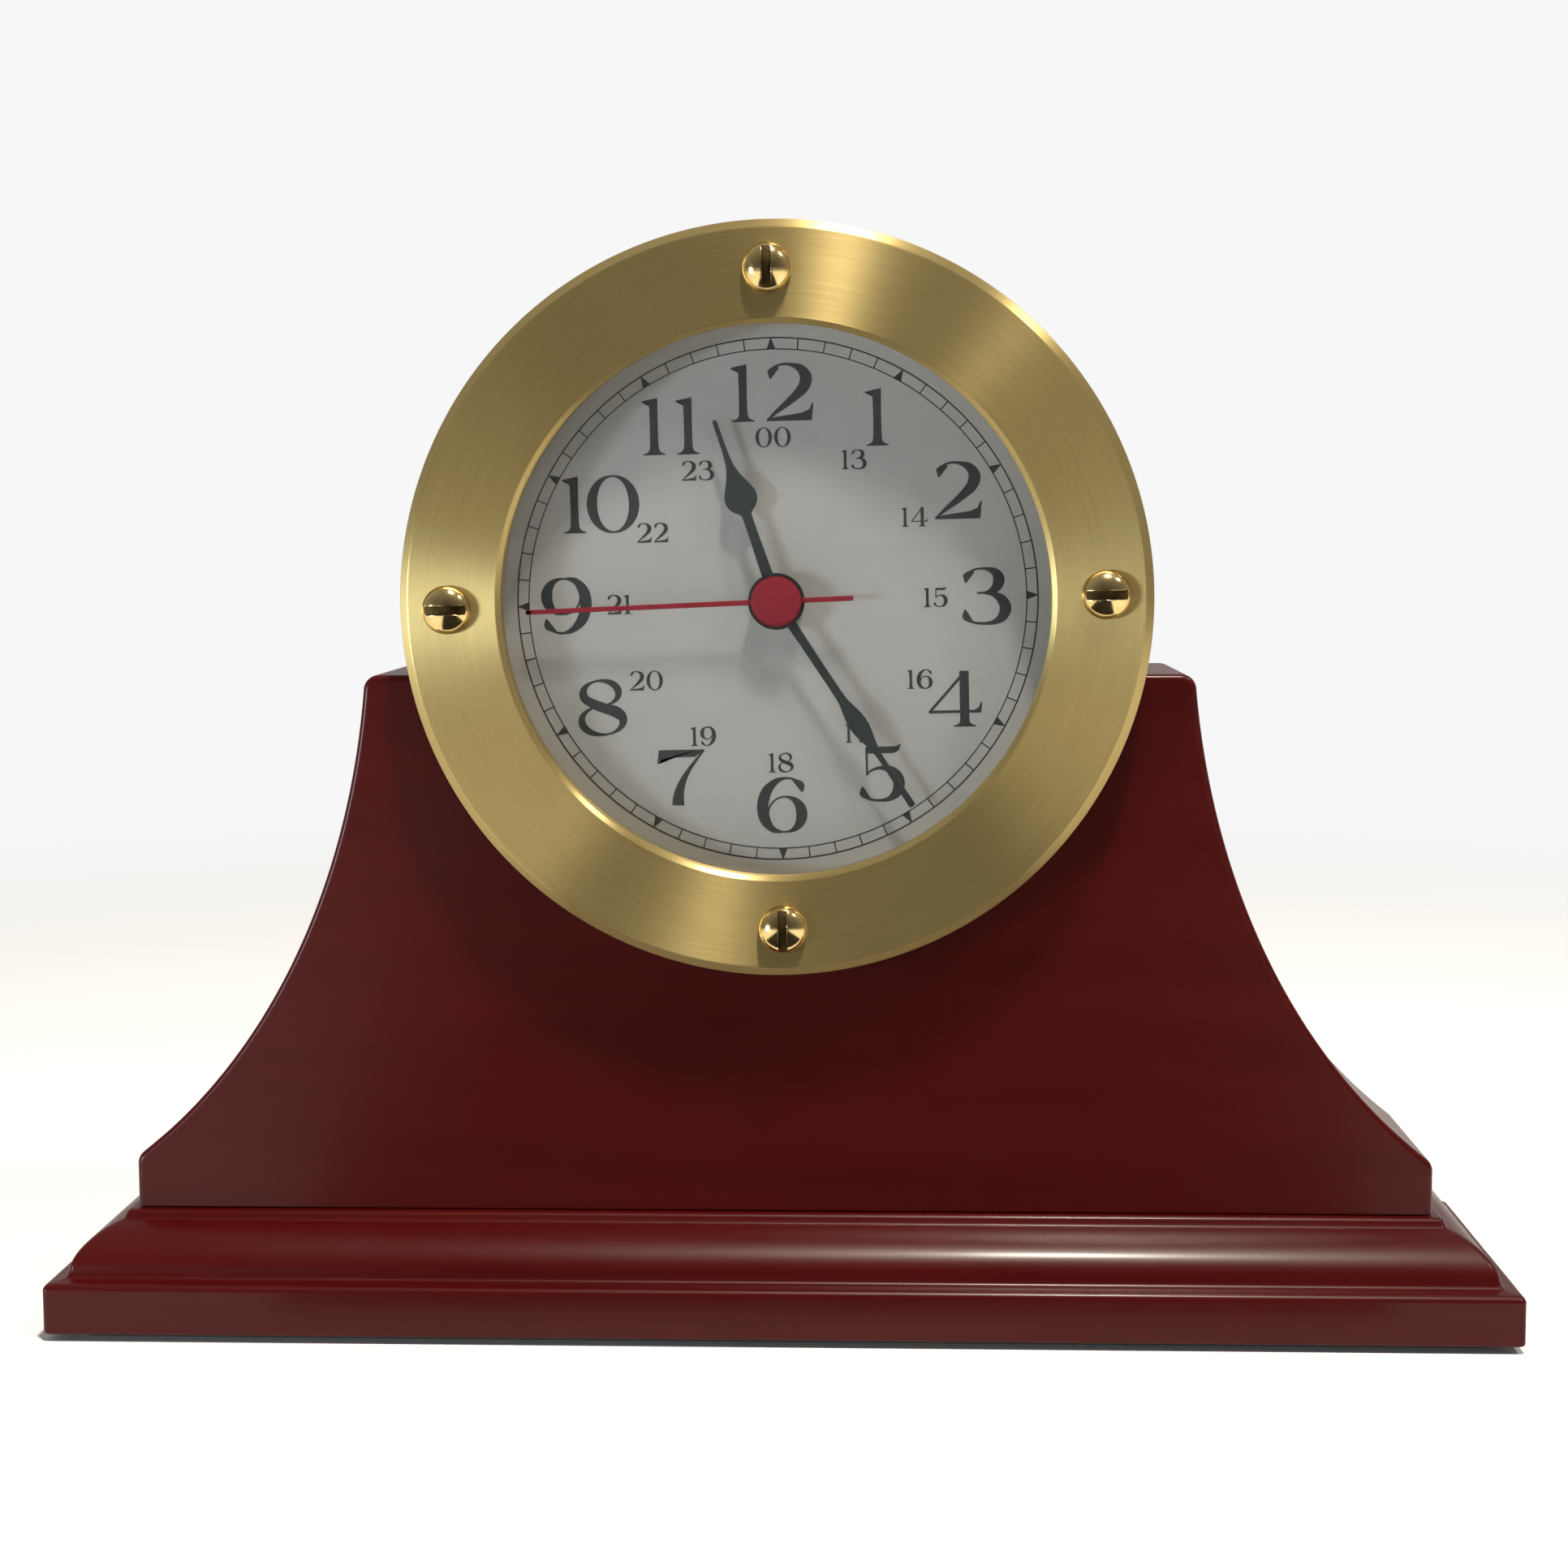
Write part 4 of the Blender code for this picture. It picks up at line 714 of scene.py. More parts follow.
@dataclass(frozen=True)
class LatheBrass:
    """Brass with fine lathe lines round the dial's axis, lacquered matt gold."""

    name: str = "brushed_brass"
    dark: Colour = (0.42, 0.312, 0.122)
    light: Colour = (0.54, 0.412, 0.172)
    roughness: float = 0.35
    lines: float = 5200.0
    spread: float = 0.96

    def make(self) -> bpy.types.Material:
        """Noise of the radius and depth makes the lines. Light scatters across them: outwards on a
        face, and along the axis on a wall, where the small share of the axis decides.
        """
        recipe = Recipe(self.name)
        axis = (0.0, -1.0, 0.0)
        spoke = recipe.vector("SUBTRACT", recipe.place, FACE.centre()).outputs["Vector"]
        round_way = recipe.vector("CROSS_PRODUCT", spoke, axis).outputs["Vector"]
        length = recipe.add("ShaderNodeVectorMath", {"Vector": round_way}, operation="LENGTH")
        radius = length.outputs["Value"]
        parts = recipe.add("ShaderNodeSeparateXYZ", {"Vector": spoke}).outputs
        across = recipe.calc("ADD", radius, parts["Y"])
        inputs = {"X": recipe.calc("MULTIPLY", across, self.lines),
                  "Y": recipe.calc("MULTIPLY", parts["X"], 55.0),
                  "Z": recipe.calc("MULTIPLY", parts["Z"], 55.0)}
        strands = recipe.noise(recipe.add("ShaderNodeCombineXYZ", inputs).outputs["Vector"], 1.0, 4.0, 0.6)
        patina = recipe.noise(recipe.place, 26.0, 4.0)
        tone = recipe.blend(strands, patina, 0.55)
        recipe.set(Base_Color=recipe.ramp(tone, [(0.3, self.dark), (0.7, self.light)]), Metallic=0.84,
                   Roughness=recipe.between(strands, self.roughness - 0.04, self.roughness + 0.04),
                   Specular_IOR_Level=0.2, Anisotropic=self.spread)
        outward = recipe.vector("CROSS_PRODUCT", axis, round_way).outputs["Vector"]
        unit = recipe.add("ShaderNodeVectorMath", {"Vector": outward}, operation="NORMALIZE")
        recipe.set(Tangent=recipe.vector("ADD", unit.outputs["Vector"], (0.0, 0.05, 0.0)).outputs["Vector"])
        recipe.bump(strands, 0.10, 0.02)
        return recipe.material


@dataclass(frozen=True)
class BrightMetal:
    """Polished or plain metal with faint handling marks."""

    name: str
    colour: Colour
    shade: Colour
    roughness: float = 0.10
    marks: float = 420.0
    dent: float = 0.04

    def make(self) -> bpy.types.Material:
        """Noise dulls the polish in patches, and a finer noise gives the skin its small dents."""
        recipe = Recipe(self.name)
        smudge = recipe.noise(recipe.place, self.marks, 4.0, 0.6)
        recipe.set(Base_Color=recipe.ramp(smudge, [(0.35, self.shade), (0.6, self.colour)]), Metallic=1.0,
                   Roughness=recipe.between(smudge, self.roughness * 0.7, self.roughness * 1.5))
        recipe.bump(recipe.noise(recipe.place, 5.0 * self.marks, 2.0), self.dent, 0.02)
        return recipe.material


@dataclass(frozen=True)
class FlatPaint:
    """Satin paint, moulded plastic or rubber: one colour with a little life and a fine skin."""

    name: str
    colour: Colour
    shade: Colour
    roughness: float = 0.45
    grain: float = 2600.0
    depth: float = 0.02
    specular: float = 0.5
    metallic: float = 0.0

    def make(self) -> bpy.types.Material:
        """Slow noise shifts the colour, quick noise makes the skin's bump and gloss."""
        recipe = Recipe(self.name)
        slow = recipe.noise(recipe.place, 60.0, 4.0)
        quick = recipe.noise(recipe.place, self.grain, 2.0)
        tone = recipe.blend(slow, quick, 0.6)
        recipe.set(Base_Color=recipe.ramp(tone, [(0.35, self.shade), (0.65, self.colour)]),
                   Metallic=self.metallic, Specular_IOR_Level=self.specular,
                   Roughness=recipe.between(quick, self.roughness - 0.05, self.roughness + 0.05))
        recipe.bump(quick, 0.25, self.depth)
        return recipe.material


@dataclass(frozen=True)
class SatinDial:
    """Silver-white lacquered metal with a very fine satin grain."""

    name: str = "satin_dial"
    light: Colour = (0.330, 0.332, 0.330)
    shade: Colour = (0.295, 0.297, 0.293)

    def make(self) -> bpy.types.Material:
        """Fine noise for the grain, a slow one for the faint unevenness of the lacquer."""
        recipe = Recipe(self.name)
        grain = recipe.noise(recipe.place, 3400.0, 3.0, 0.7)
        cloud = recipe.noise(recipe.place, 38.0, 3.0)
        tone = recipe.blend(grain, cloud, 0.5)
        recipe.set(Base_Color=recipe.ramp(tone, [(0.3, self.shade), (0.7, self.light)]), Metallic=0.15,
                   Roughness=recipe.between(grain, 0.48, 0.62))
        recipe.bump(grain, 0.15, 0.012)
        return recipe.material


@dataclass(frozen=True)
class PaneGlass:
    """Clear flat glass: it reflects more at a slant, and is seen through for the rest."""

    name: str = "pane_glass"

    def make(self) -> bpy.types.Material:
        """The alpha is 0.03 plus 0.7 times the fifth power of how far it is turned away, and dust."""
        recipe = Recipe(self.name)
        away = recipe.add("ShaderNodeLayerWeight", {"Blend": 0.5}).outputs["Facing"]
        share = recipe.between(recipe.calc("POWER", away, 5.0), 0.03, 0.73)
        dust = recipe.between(recipe.noise(recipe.place, 900.0, 5.0, 0.7), 0.0, 0.008)
        recipe.set(Base_Color=(0.96, 0.98, 0.97), Metallic=1.0, Roughness=0.02,
                   Alpha=recipe.calc("ADD", share, dust))
        return recipe.material


@dataclass(frozen=True)
class Baize:
    """Dark green-black felt with a fibrous nap."""

    name: str = "baize"

    def make(self) -> bpy.types.Material:
        """Two crossed stretched noises for the fibres, and sheen for the nap."""
        recipe = Recipe(self.name)
        one = recipe.noise(recipe.scaled((1.0, 4.0, 2.0)), 900.0, 4.0, 0.7)
        two = recipe.noise(recipe.scaled((4.0, 1.0, 2.0)), 1100.0, 4.0, 0.7)
        fibres = recipe.calc("MULTIPLY", recipe.calc("ADD", one, two), 0.5)
        stops = [(0.35, (0.010, 0.018, 0.014)), (0.7, (0.030, 0.048, 0.038))]
        recipe.set(Base_Color=recipe.ramp(fibres, stops), Roughness=0.95,
                   Sheen_Weight=0.35, Sheen_Roughness=0.5)
        recipe.bump(fibres, 0.7, 0.25)
        return recipe.material


@dataclass(frozen=True)
class Winding:
    """Enamelled copper wire laid turn by turn along x."""

    name: str = "copper_winding"

    def make(self) -> bpy.types.Material:
        """Bands along x, one for each turn, with a little unevenness."""
        recipe = Recipe(self.name)
        bands = recipe.add("ShaderNodeTexWave", {"Vector": recipe.place, "Scale": 900.0, "Distortion": 0.6,
                                                 "Detail": 2.0}, bands_direction="X").outputs["Fac"]
        recipe.set(Base_Color=recipe.ramp(bands, [(0.1, (0.20, 0.055, 0.018)), (0.7, (0.72, 0.30, 0.12))]),
                   Metallic=1.0, Roughness=0.3)
        recipe.bump(bands, 0.6, 0.08)
        return recipe.material


@dataclass(frozen=True)
class PrintedBoard:
    """Green circuit board with faint copper tracks under its lacquer."""

    name: str = "printed_board"

    def make(self) -> bpy.types.Material:
        """Voronoi cell edges on a square metric stand for tracks."""
        recipe = Recipe(self.name)
        cells = recipe.add("ShaderNodeTexVoronoi",
                           {"Vector": recipe.place, "Scale": 420.0, "Randomness": 0.6},
                           distance="CHEBYCHEV").outputs["Distance"]
        recipe.set(Base_Color=recipe.ramp(cells, [(0.42, (0.012, 0.085, 0.035)), (0.5, (0.05, 0.20, 0.08))]),
                   Roughness=0.35, Coat_Weight=0.3, Coat_Roughness=0.15)
        recipe.bump(cells, 0.2, 0.03)
        return recipe.material


@dataclass(frozen=True)
class CellJacket:
    """The cell's printed film: a dark sleeve with a copper-coloured end, no lettering."""

    name: str = "cell_jacket"
    change_at: float = 11.0

    def make(self) -> bpy.types.Material:
        """Bands by place along x, with fine scuffs."""
        recipe = Recipe(self.name)
        x = recipe.add("ShaderNodeSeparateXYZ", {"Vector": recipe.place}).outputs["X"]
        share = recipe.add("ShaderNodeMapRange", {"Value": x, "From Min": -25.0 * MM, "From Max": 25.0 * MM})
        split = 0.5 + self.change_at / 50.0
        stops = [(0.0, (0.016, 0.017, 0.019)), (split - 0.005, (0.020, 0.021, 0.024)),
                 (split, (0.55, 0.30, 0.13)), (1.0, (0.60, 0.34, 0.15))]
        recipe.set(Base_Color=recipe.ramp(share.outputs["Result"], stops), Metallic=0.6,
                   Roughness=recipe.between(recipe.noise(recipe.place, 500.0, 5.0), 0.2, 0.42),
                   Coat_Weight=0.4, Coat_Roughness=0.12)
        recipe.bump(recipe.noise(recipe.place, 1500.0, 3.0), 0.08, 0.03)
        return recipe.material


# Shapes that several assemblies share.


def eased(corners: Sequence[tuple[float, float, float]], steps: int = 4) -> Points:
    """A closed profile with each corner eased by a quadratic curve between two cut-back points.

    For a corner P with unit directions u and v to its neighbours and a cut-back d, the curve is
    (1 - t)^2 (P + d u) + 2 t (1 - t) P + t^2 (P + d v). A point a little beyond each end keeps the
    flat parts flat in the shading.

    Args:
        corners: Corners as (x, y, cut-back), in millimetres.
        steps: Steps in each curve.

    Returns:
        The eased profile, in the corners' order.
    """
    data = np.array(corners)
    point, back = data[:, None, :2], data[:, None, 2:]
    before = np.roll(data[:, :2], 1, axis=0)[:, None] - point
    after = np.roll(data[:, :2], -1, axis=0)[:, None] - point
    before = before / np.linalg.norm(before, axis=2, keepdims=True)
    after = after / np.linalg.norm(after, axis=2, keepdims=True)
    t = np.linspace(0.0, 1.0, steps + 1)[None, :, None]
    start, end = point + back * before, point + back * after
    curve = (1 - t) ** 2 * start + 2 * t * (1 - t) * point + t**2 * end
    made = np.concatenate([start + 0.4 * back * before, curve, end + 0.4 * back * after], axis=1)
    made = made.reshape(-1, 2)
    keep = np.linalg.norm(made - np.roll(made, 1, axis=0), axis=1) > 1e-6
    return made[keep]


def rod(name: str, start: Sequence[float], end: Sequence[float], radius: float,
        steps: int = 32) -> bpy.types.Object:
    """A round rod between two face points: two rings of points, closed by flat ends.

    Args:
        name: Name of the rod.
        start: Face point of one end, in millimetres.
        end: Face point of the other end.
        radius: Radius in millimetres.
        steps: Steps round the rod.

    Returns:
        The rod.
    """
    ends = np.array([start, end], dtype=float)
    along = ends[1] - ends[0]
    along /= np.linalg.norm(along)
    side = np.cross(along, (0.0, 0.0, 1.0) if abs(along[2]) < 0.9 else (1.0, 0.0, 0.0))
    side /= np.linalg.norm(side)
    other = np.cross(along, side)
    angles = np.linspace(0.0, 2 * np.pi, steps, endpoint=False)
    ring = radius * (np.cos(angles)[:, None] * side + np.sin(angles)[:, None] * other)
    points = (ends[:, None, :] + ring[None]).reshape(-1, 3)
    return make_piece(name, FACE.world(points), tube_faces(2, steps))


def block(name: str, centre: tuple[float, float], half: tuple[float, float], turn: float,
          low: float, high: float) -> bpy.types.Object:
    """A box on the face, turned about h: corners are the centre plus turned (+-a, +-b).

    Args:
        name: Name of the box.
        centre: Centre on the face, in millimetres.
        half: Half sizes along and across its own direction.
        turn: Its direction, in radians from +x.
        low: Lowest h.
        high: Highest h.

    Returns:
        The box.
    """
    signs = np.array([(-1, -1), (1, -1), (1, 1), (-1, 1)], dtype=float) * np.array(half)
    spin = np.array([[math.cos(turn), math.sin(turn)], [-math.sin(turn), math.cos(turn)]])
    flat = signs @ spin + np.array(centre)
    points = np.concatenate([np.c_[flat, np.full(4, low)], np.c_[flat, np.full(4, high)]])
    faces = [[0, 1, 2, 3], [4, 5, 6, 7], [0, 1, 5, 4], [1, 2, 6, 5], [2, 3, 7, 6], [3, 0, 4, 7]]
    return make_piece(name, FACE.world(points), faces)


def rectangle_ring(half: Points, corner: Points, steps: int = 6) -> Points:
    """Rings of rounded rectangles: the corner's centre plus its radius times (cos a, sin a).

    Args:
        half: Half sizes of shape (n, 2), in millimetres.
        corner: Corner radii of shape (n,).
        steps: Steps in each corner.

    Returns:
        Points of shape (n, 4 (steps + 1), 2), anticlockwise.
    """
    quarters = [np.linspace(q * np.pi / 2, (q + 1) * np.pi / 2, steps + 1) for q in range(4)]
    angles = np.concatenate(quarters)
    signs = np.repeat(np.array([(1, 1), (-1, 1), (-1, -1), (1, -1)], dtype=float), steps + 1, axis=0)
    centres = signs[None] * (half[:, None, :] - corner[:, None, None])
    return centres + corner[:, None, None] * np.stack([np.cos(angles), np.sin(angles)], axis=1)[None]


def stacked(name: str, rings: Points, heights: Points, sharp: float = SHARP) -> bpy.types.Object:
    """Rings of points joined from level to level, closed by a flat face at each end.

    Args:
        name: Name of the piece.
        rings: Rings of shape (levels, n, 2), in millimetres.
        heights: Height z of each level.
        sharp: Angle in degrees above which an edge stays sharp.

    Returns:
        The piece.
    """
    levels, count = rings.shape[:2]
    tall = np.broadcast_to(heights[:, None, None], (levels, count, 1))
    points = np.concatenate([rings, tall], axis=2).reshape(-1, 3) * MM
    return make_piece(name, points, tube_faces(levels, count), sharp)


def cradle_holes(prefix: str, reach: tuple[float, float] = (55.0, 74.8)) -> list[bpy.types.Object]:
    """Cutters for the two screws that run from inside the drum down into the cradle.

    Args:
        prefix: Start of the cutters' names.
        reach: Distances from the axis between which the holes run.

    Returns:
        The cutters.
    """
    made = []
    for number, angle in enumerate((-122.0, -58.0), 1):
        way = np.array([math.cos(math.radians(angle)), math.sin(math.radians(angle)), 0.0])
        depth = np.array([0.0, 0.0, -22.0])
        made.append(rod(f"{prefix}_{number}", way * reach[0] + depth, way * reach[1] + depth, 2.0))
    return made


# Stand.


@dataclass
class Stand:
    """The moulded plinth, the flared upright with its cradle, and the felt below."""

    foot_half: float = 133.7
    half_depth: float = 22.2
    plinth_bottom: float = 1.5
    overhang: float = 15.8
    corner: float = 1.1
    upright_bottom: float = 24.3
    upright_top: float = 134.9
    top_half: float = 84.55
    side_height: float = 12.0
    outline_corner: float = 3.2
    edge: float = 1.2
    cradle_radius: float = 60.5
    foot_sweep: float = 52.0
    top_lean: float = 5.5
    low_pull: float = 35.0
    high_pull: float = 39.0
    screw_pitch: float = 80.0
    felt_half: tuple[float, float] = (146.0, 34.5)
    felt_thickness: float = 1.2
    felt_corner: float = 7.0
    wood: LacqueredCherry = field(default_factory=LacqueredCherry)
    felt: Baize = field(default_factory=Baize)

    def moulding(self) -> Points:
        """Overhang and height of the moulding, from its bottom edge up to the upright's foot."""
        reach = self.overhang
        bottom = arc((reach - 0.6, 0.6), 0.6, -90.0, 0.0, 4)
        bead = arc((reach - 1.5, 8.9), 1.5, 0.0, 90.0, 9)
        ovolo = cubic([(11.5, 12.2), (11.2, 15.5), (7.0, 19.3), (2.6, 20.6)], 22)
        parts = [[(reach - 1.2, 0.0)], bottom, [(reach, 0.8), (reach, 8.7)], bead,
                 [(14.0, 10.42), (12.4, 10.7), (12.1, 10.8), (11.75, 11.3), (11.6, 11.9)], ovolo,
                 [(2.42, 20.8), (2.1, 21.6), (1.95, 22.0), (1.65, 22.3), (1.2, 22.45), (0.6, 22.5),
                  (0.4, 22.5), (-0.6, 22.5)]]
        return np.concatenate([np.array(part) for part in parts])

    def screw_holes(self, prefix: str) -> list[bpy.types.Object]:
        """Cutters for the three countersunk wood screws that hold the upright from below.

        Args:
            prefix: Start of the cutters' names.

        Returns:
            The cutters.
        """
        profile = np.array([(0.0, 40.4), (2.3, 34.4), (2.3, 4.3), (4.5, 2.1), (4.5, 0.5), (0.0, 0.5)])
        return [upright_lathe(f"{prefix}_{number}", profile, 32, (self.screw_pitch * (number - 2), 0.0))
                for number in (1, 2, 3)]

    def build_plinth(self, finish: bpy.types.Material) -> bpy.types.Object:
        """The moulding carried round a rounded rectangle, level by level.

        Args:
            finish: The wood.

        Returns:
            The plinth.
        """
        levels = self.moulding()
        half = np.array([self.foot_half, self.half_depth]) + levels[:, :1]
        rings = rectangle_ring(half, np.full(len(levels), self.corner))
        plinth = stacked("plinth", rings, self.plinth_bottom + levels[:, 1], 40.0)
        cut(plinth, self.screw_holes("plinth_hole"), 40.0)
        return wear(plinth, finish, "cherry_wood", "base_plinth")

    def outline(self) -> Points:
        """The upright's outline (x, z), anticlockwise from its right foot.

        The side runs up to a small round corner, then a cubic curve flares in and up to the top
        corner. The cradle's arc closes the top, and the left half mirrors the right.
        """
        corner = self.outline_corner
        side_top = self.upright_bottom + self.side_height
        centre = (self.foot_half - corner, side_top - corner)
        foot = arc(centre, corner, 0.0, self.foot_sweep, 8)
        start = foot[-1]
        low, high = math.radians(self.foot_sweep), math.radians(self.top_lean)
        end = np.array([self.top_half - corner * (1 - math.cos(high)), self.upright_top - corner])
        handles = [tuple(start),
                   (start[0] - self.low_pull * math.sin(low), start[1] + self.low_pull * math.cos(low)),
                   (end[0] + self.high_pull * math.sin(high), end[1] - self.high_pull * math.cos(high)),
                   tuple(end)]
        flare = cubic(handles, 72)[1:]
        shoulder = arc((end[0] - corner, end[1]), corner, 0.0, 90.0, 8)[1:]
        lip = math.degrees(math.asin((self.upright_top - FACE.axis_height) / self.cradle_radius))
        cradle = arc((0.0, FACE.axis_height), self.cradle_radius, lip, -90.0, 60)
        bottom = np.array([(self.foot_half, self.upright_bottom),
                           (self.foot_half, self.upright_bottom + 0.1)])
        right = np.concatenate([bottom, foot, flare, shoulder, cradle])
        left = right[:-1][::-1] * np.array([-1.0, 1.0])
        return np.concatenate([right, left])

    def build_upright(self, finish: bpy.types.Material) -> bpy.types.Object:
        """The outline carried through the depth, drawn in along quarter circles at both faces.

        Args:
            finish: The wood.

        Returns:
            The upright.
        """
        line = self.outline()
        along = np.roll(line, -1, axis=0) - line
        along /= np.linalg.norm(along, axis=1, keepdims=True)
        normal = np.stack([along[:, 1], -along[:, 0]], axis=1)
        before = np.roll(normal, 1, axis=0)
        mitre = (normal + before) / (1.0 + np.sum(normal * before, axis=1, keepdims=True))
        mitre[line[:, 1] <= self.upright_bottom + 1e-6, 1] = 0.0
        turn = np.linspace(0.0, np.pi / 2, 8)
        inset = np.concatenate([[self.edge + 0.12], self.edge * (1 - np.sin(turn)), [0.0]])
        depth = np.concatenate([[self.half_depth], self.half_depth - self.edge * (1 - np.cos(turn)),
                                [self.half_depth - self.edge - 0.15]])
        inset, depth = np.concatenate([inset, inset[::-1]]), np.concatenate([-depth, depth[::-1]])
        rings = line[None] - inset[:, None, None] * mitre[None]
        deep = np.broadcast_to(depth[:, None], (len(depth), len(line)))
        points = np.stack([rings[..., 0], deep, rings[..., 1]], axis=2).reshape(-1, 3) * MM
        piece = make_piece("upright_board", points, tube_faces(len(depth), len(line)), 32.0)
        cut(piece, self.screw_holes("upright_hole") + cradle_holes("upright_cradle_hole"), 32.0)
        return wear(piece, finish, "cherry_wood", "upright")

    def build_felt(self, finish: bpy.types.Material) -> bpy.types.Object:
        """A flat sheet with round corners and softly rounded edges, under the plinth.

        Args:
            finish: The felt.

        Returns:
            The felt.
        """
        turn = np.linspace(-np.pi / 2, np.pi / 2, 7)
        rim = self.felt_thickness / 2
        inset = np.concatenate([[4.0], rim * (1 - np.cos(turn)), [4.0]])
        height = np.concatenate([[0.0], rim + rim * np.sin(turn), [self.felt_thickness]])
        half = np.array(self.felt_half) - inset[:, None]
        piece = stacked("felt_sheet", rectangle_ring(half, self.felt_corner - inset), height, 60.0)
        wear(piece, finish, "felt", "base_felt")
        return piece

    def build(self) -> None:
        """Builds and dresses the stand."""
        finish = self.wood.make()
        self.build_plinth(finish)
        self.build_upright(finish)
        self.build_felt(self.felt.make())


# Case.


@dataclass
class Case:
    """Bezel, its four screws, the drum with its flange, the glass and its gasket."""

    opening: float = 54.8
    radius: float = 75.0
    face: float = 9.8
    back: float = 3.6
    screw_circle: float = 65.4
    head_radius: float = 4.85
    head_height: float = 3.1
    seat: float = 10.1
    shank: float = 1.9
    drum_radius: float = 60.0
    drum_depth: float = 34.0
    drum_wall: float = 1.5
    chamfer: float = 1.7
    rebate_radius: float = 59.3
    rebate_front: float = 7.7
    flange_radius: float = 72.0
    flange_front: float = 3.3
    flange_back: float = 0.3
    lip_radius: float = 55.6
    floor: float = -0.35
    slot_half: float = 0.9
    slot_depth: float = 1.3
    slot_shade: bpy.types.Material | None = None
    brass: LatheBrass = field(default_factory=LatheBrass)
    bright: BrightMetal = BrightMetal("polished_brass", (0.80, 0.60, 0.27), (0.66, 0.48, 0.20), 0.12)

    def screw_places(self) -> list[tuple[float, float, float]]:
        """The four screws' (x, y, direction): right, top, left and bottom."""
        turns = [math.pi / 2 * quarter for quarter in range(4)]
        return [(self.screw_circle * math.cos(turn), self.screw_circle * math.sin(turn), turn)
                for turn in turns]

    def screw_cutters(self, prefix: str) -> list[bpy.types.Object]:
        """Cutters for the four screws' shanks.

        Args:
            prefix: Start of the cutters' names.

        Returns:
            The cutters.
        """
        return [rod(f"{prefix}_{number}", (x, y, -0.7), (x, y, 10.8), self.shank + 0.3)
                for number, (x, y, _) in enumerate(self.screw_places(), 1)]

    def build_bezel(self, finish: bpy.types.Material) -> bpy.types.Object:
        """A turned ring with a rebate for the glass and a chamfer at each rim.

        Args:
            finish: The brass.

        Returns:
            The bezel.
        """
        corners = [(self.opening, self.rebate_front, 0.1), (self.opening, 8.9, 0.14),
                   (self.opening + 0.9, self.face, 0.14), (self.radius - self.chamfer, self.face, 0.22),
                   (self.radius, self.face - self.chamfer, 0.22), (self.radius, self.back, 0.15),
                   (self.rebate_radius, self.back, 0.1), (self.rebate_radius, self.rebate_front, 0.0)]
        piece = lathe("bezel_ring", eased(corners), 256)
        cut(piece, self.screw_cutters("bezel_hole"))
        return wear(piece, finish, "brushed_brass", "bezel")

    def build_screw(self, number: int, place: tuple[float, float, float],
                    finish: bpy.types.Material) -> bpy.types.Object:
        """A domed head on a plain shank, with a slot that points at the dial's centre.

        The dome's profile is (r sin a, seat + height cos a).

        Args:
            number: Number of the screw.
            place: Its (x, y, direction).
            finish: The polished brass.

        Returns:
            The screw.
        """
        turn = np.linspace(0.0, np.pi / 2, 15)
        height = self.seat + 0.25 + (self.head_height - 0.25) * np.cos(turn)
        dome = np.stack([self.head_radius * np.sin(turn), height], axis=1)
        rest = np.array([(self.head_radius - 0.15, self.seat), (self.shank, self.seat),
                         (self.shank, 0.6), (0.0, 0.6)])
        x, y, way = place
        piece = lathe(f"bezel_screw_head_{number}", np.concatenate([dome, rest]), 64, (x, y), 50.0)
        top = self.seat + self.head_height
        floor = top - self.slot_depth
        slot = block(f"slot_{number}", (x, y), (9.0, self.slot_half), way, floor, top + 1.0)
        rounded(cut(piece, [slot], 50.0), 0.12, 50.0)
        wear(piece, finish, "polished_brass", f"bezel_screw_{number}")
        self.shade_slot(piece, place, floor)
        return piece

    def shade_slot(self, piece: bpy.types.Object, place: tuple[float, float, float],
                   floor: float) -> None:
        """Paints shade into a screw's slot: the faces in the slot that aren't on the dome get a dark, dull
        brass as painted shade.

        Args:
            piece: The screw.
            place: Its (x, y, direction).
            floor: Height of the slot's floor.
        """
        count = len(piece.data.polygons)
        centres, normals = np.empty(3 * count), np.empty(3 * count)
        piece.data.polygons.foreach_get("center", centres)
        piece.data.polygons.foreach_get("normal", normals)
        x, y, way = place
        side = FACE.world(np.array([[-math.sin(way), math.cos(way), 0.0], [0.0, 0.0, 0.0]]))
        side = (side[0] - side[1]) / MM
        origin = FACE.world(np.array([[x, y, 0.0]]))[0]
        offset = (centres.reshape(-1, 3) - origin) @ side / MM
        height = (origin[1] - centres.reshape(-1, 3)[:, 1]) / MM
        upright = np.abs(normals.reshape(-1, 3) @ side) > 0.97
        inside = (np.abs(offset) < 0.93) & (height > floor - 0.02) & (upright | (height < floor + 0.02))
        piece.data.materials.append(self.slot_shade)
        piece.data.polygons.foreach_set("material_index", inside.astype(np.int32))

    def build_drum(self, finish: bpy.types.Material) -> bpy.types.Object:
        """A drum with a thin wall, open behind, turned in one with the flange that takes the bezel.

        Args:
            finish: The brass.

        Returns:
            The drum.
        """
        inside = self.drum_radius - self.drum_wall
        corners = [(self.flange_radius, self.flange_front, 0.2), (self.flange_radius, self.flange_back, 0.2),
                   (self.drum_radius, self.flange_back, 0.0), (self.drum_radius, -self.drum_depth, 0.25),
                   (inside, -self.drum_depth, 0.25), (inside, self.floor, 0.0),
                   (self.lip_radius, self.floor, 0.1), (self.lip_radius, self.flange_front, 0.1)]
        piece = lathe("drum_and_flange", eased(corners), 192)
        cut(piece, self.screw_cutters("drum_hole") + cradle_holes("drum_cradle_hole"))
        return wear(piece, finish, "brushed_brass", "case_drum")

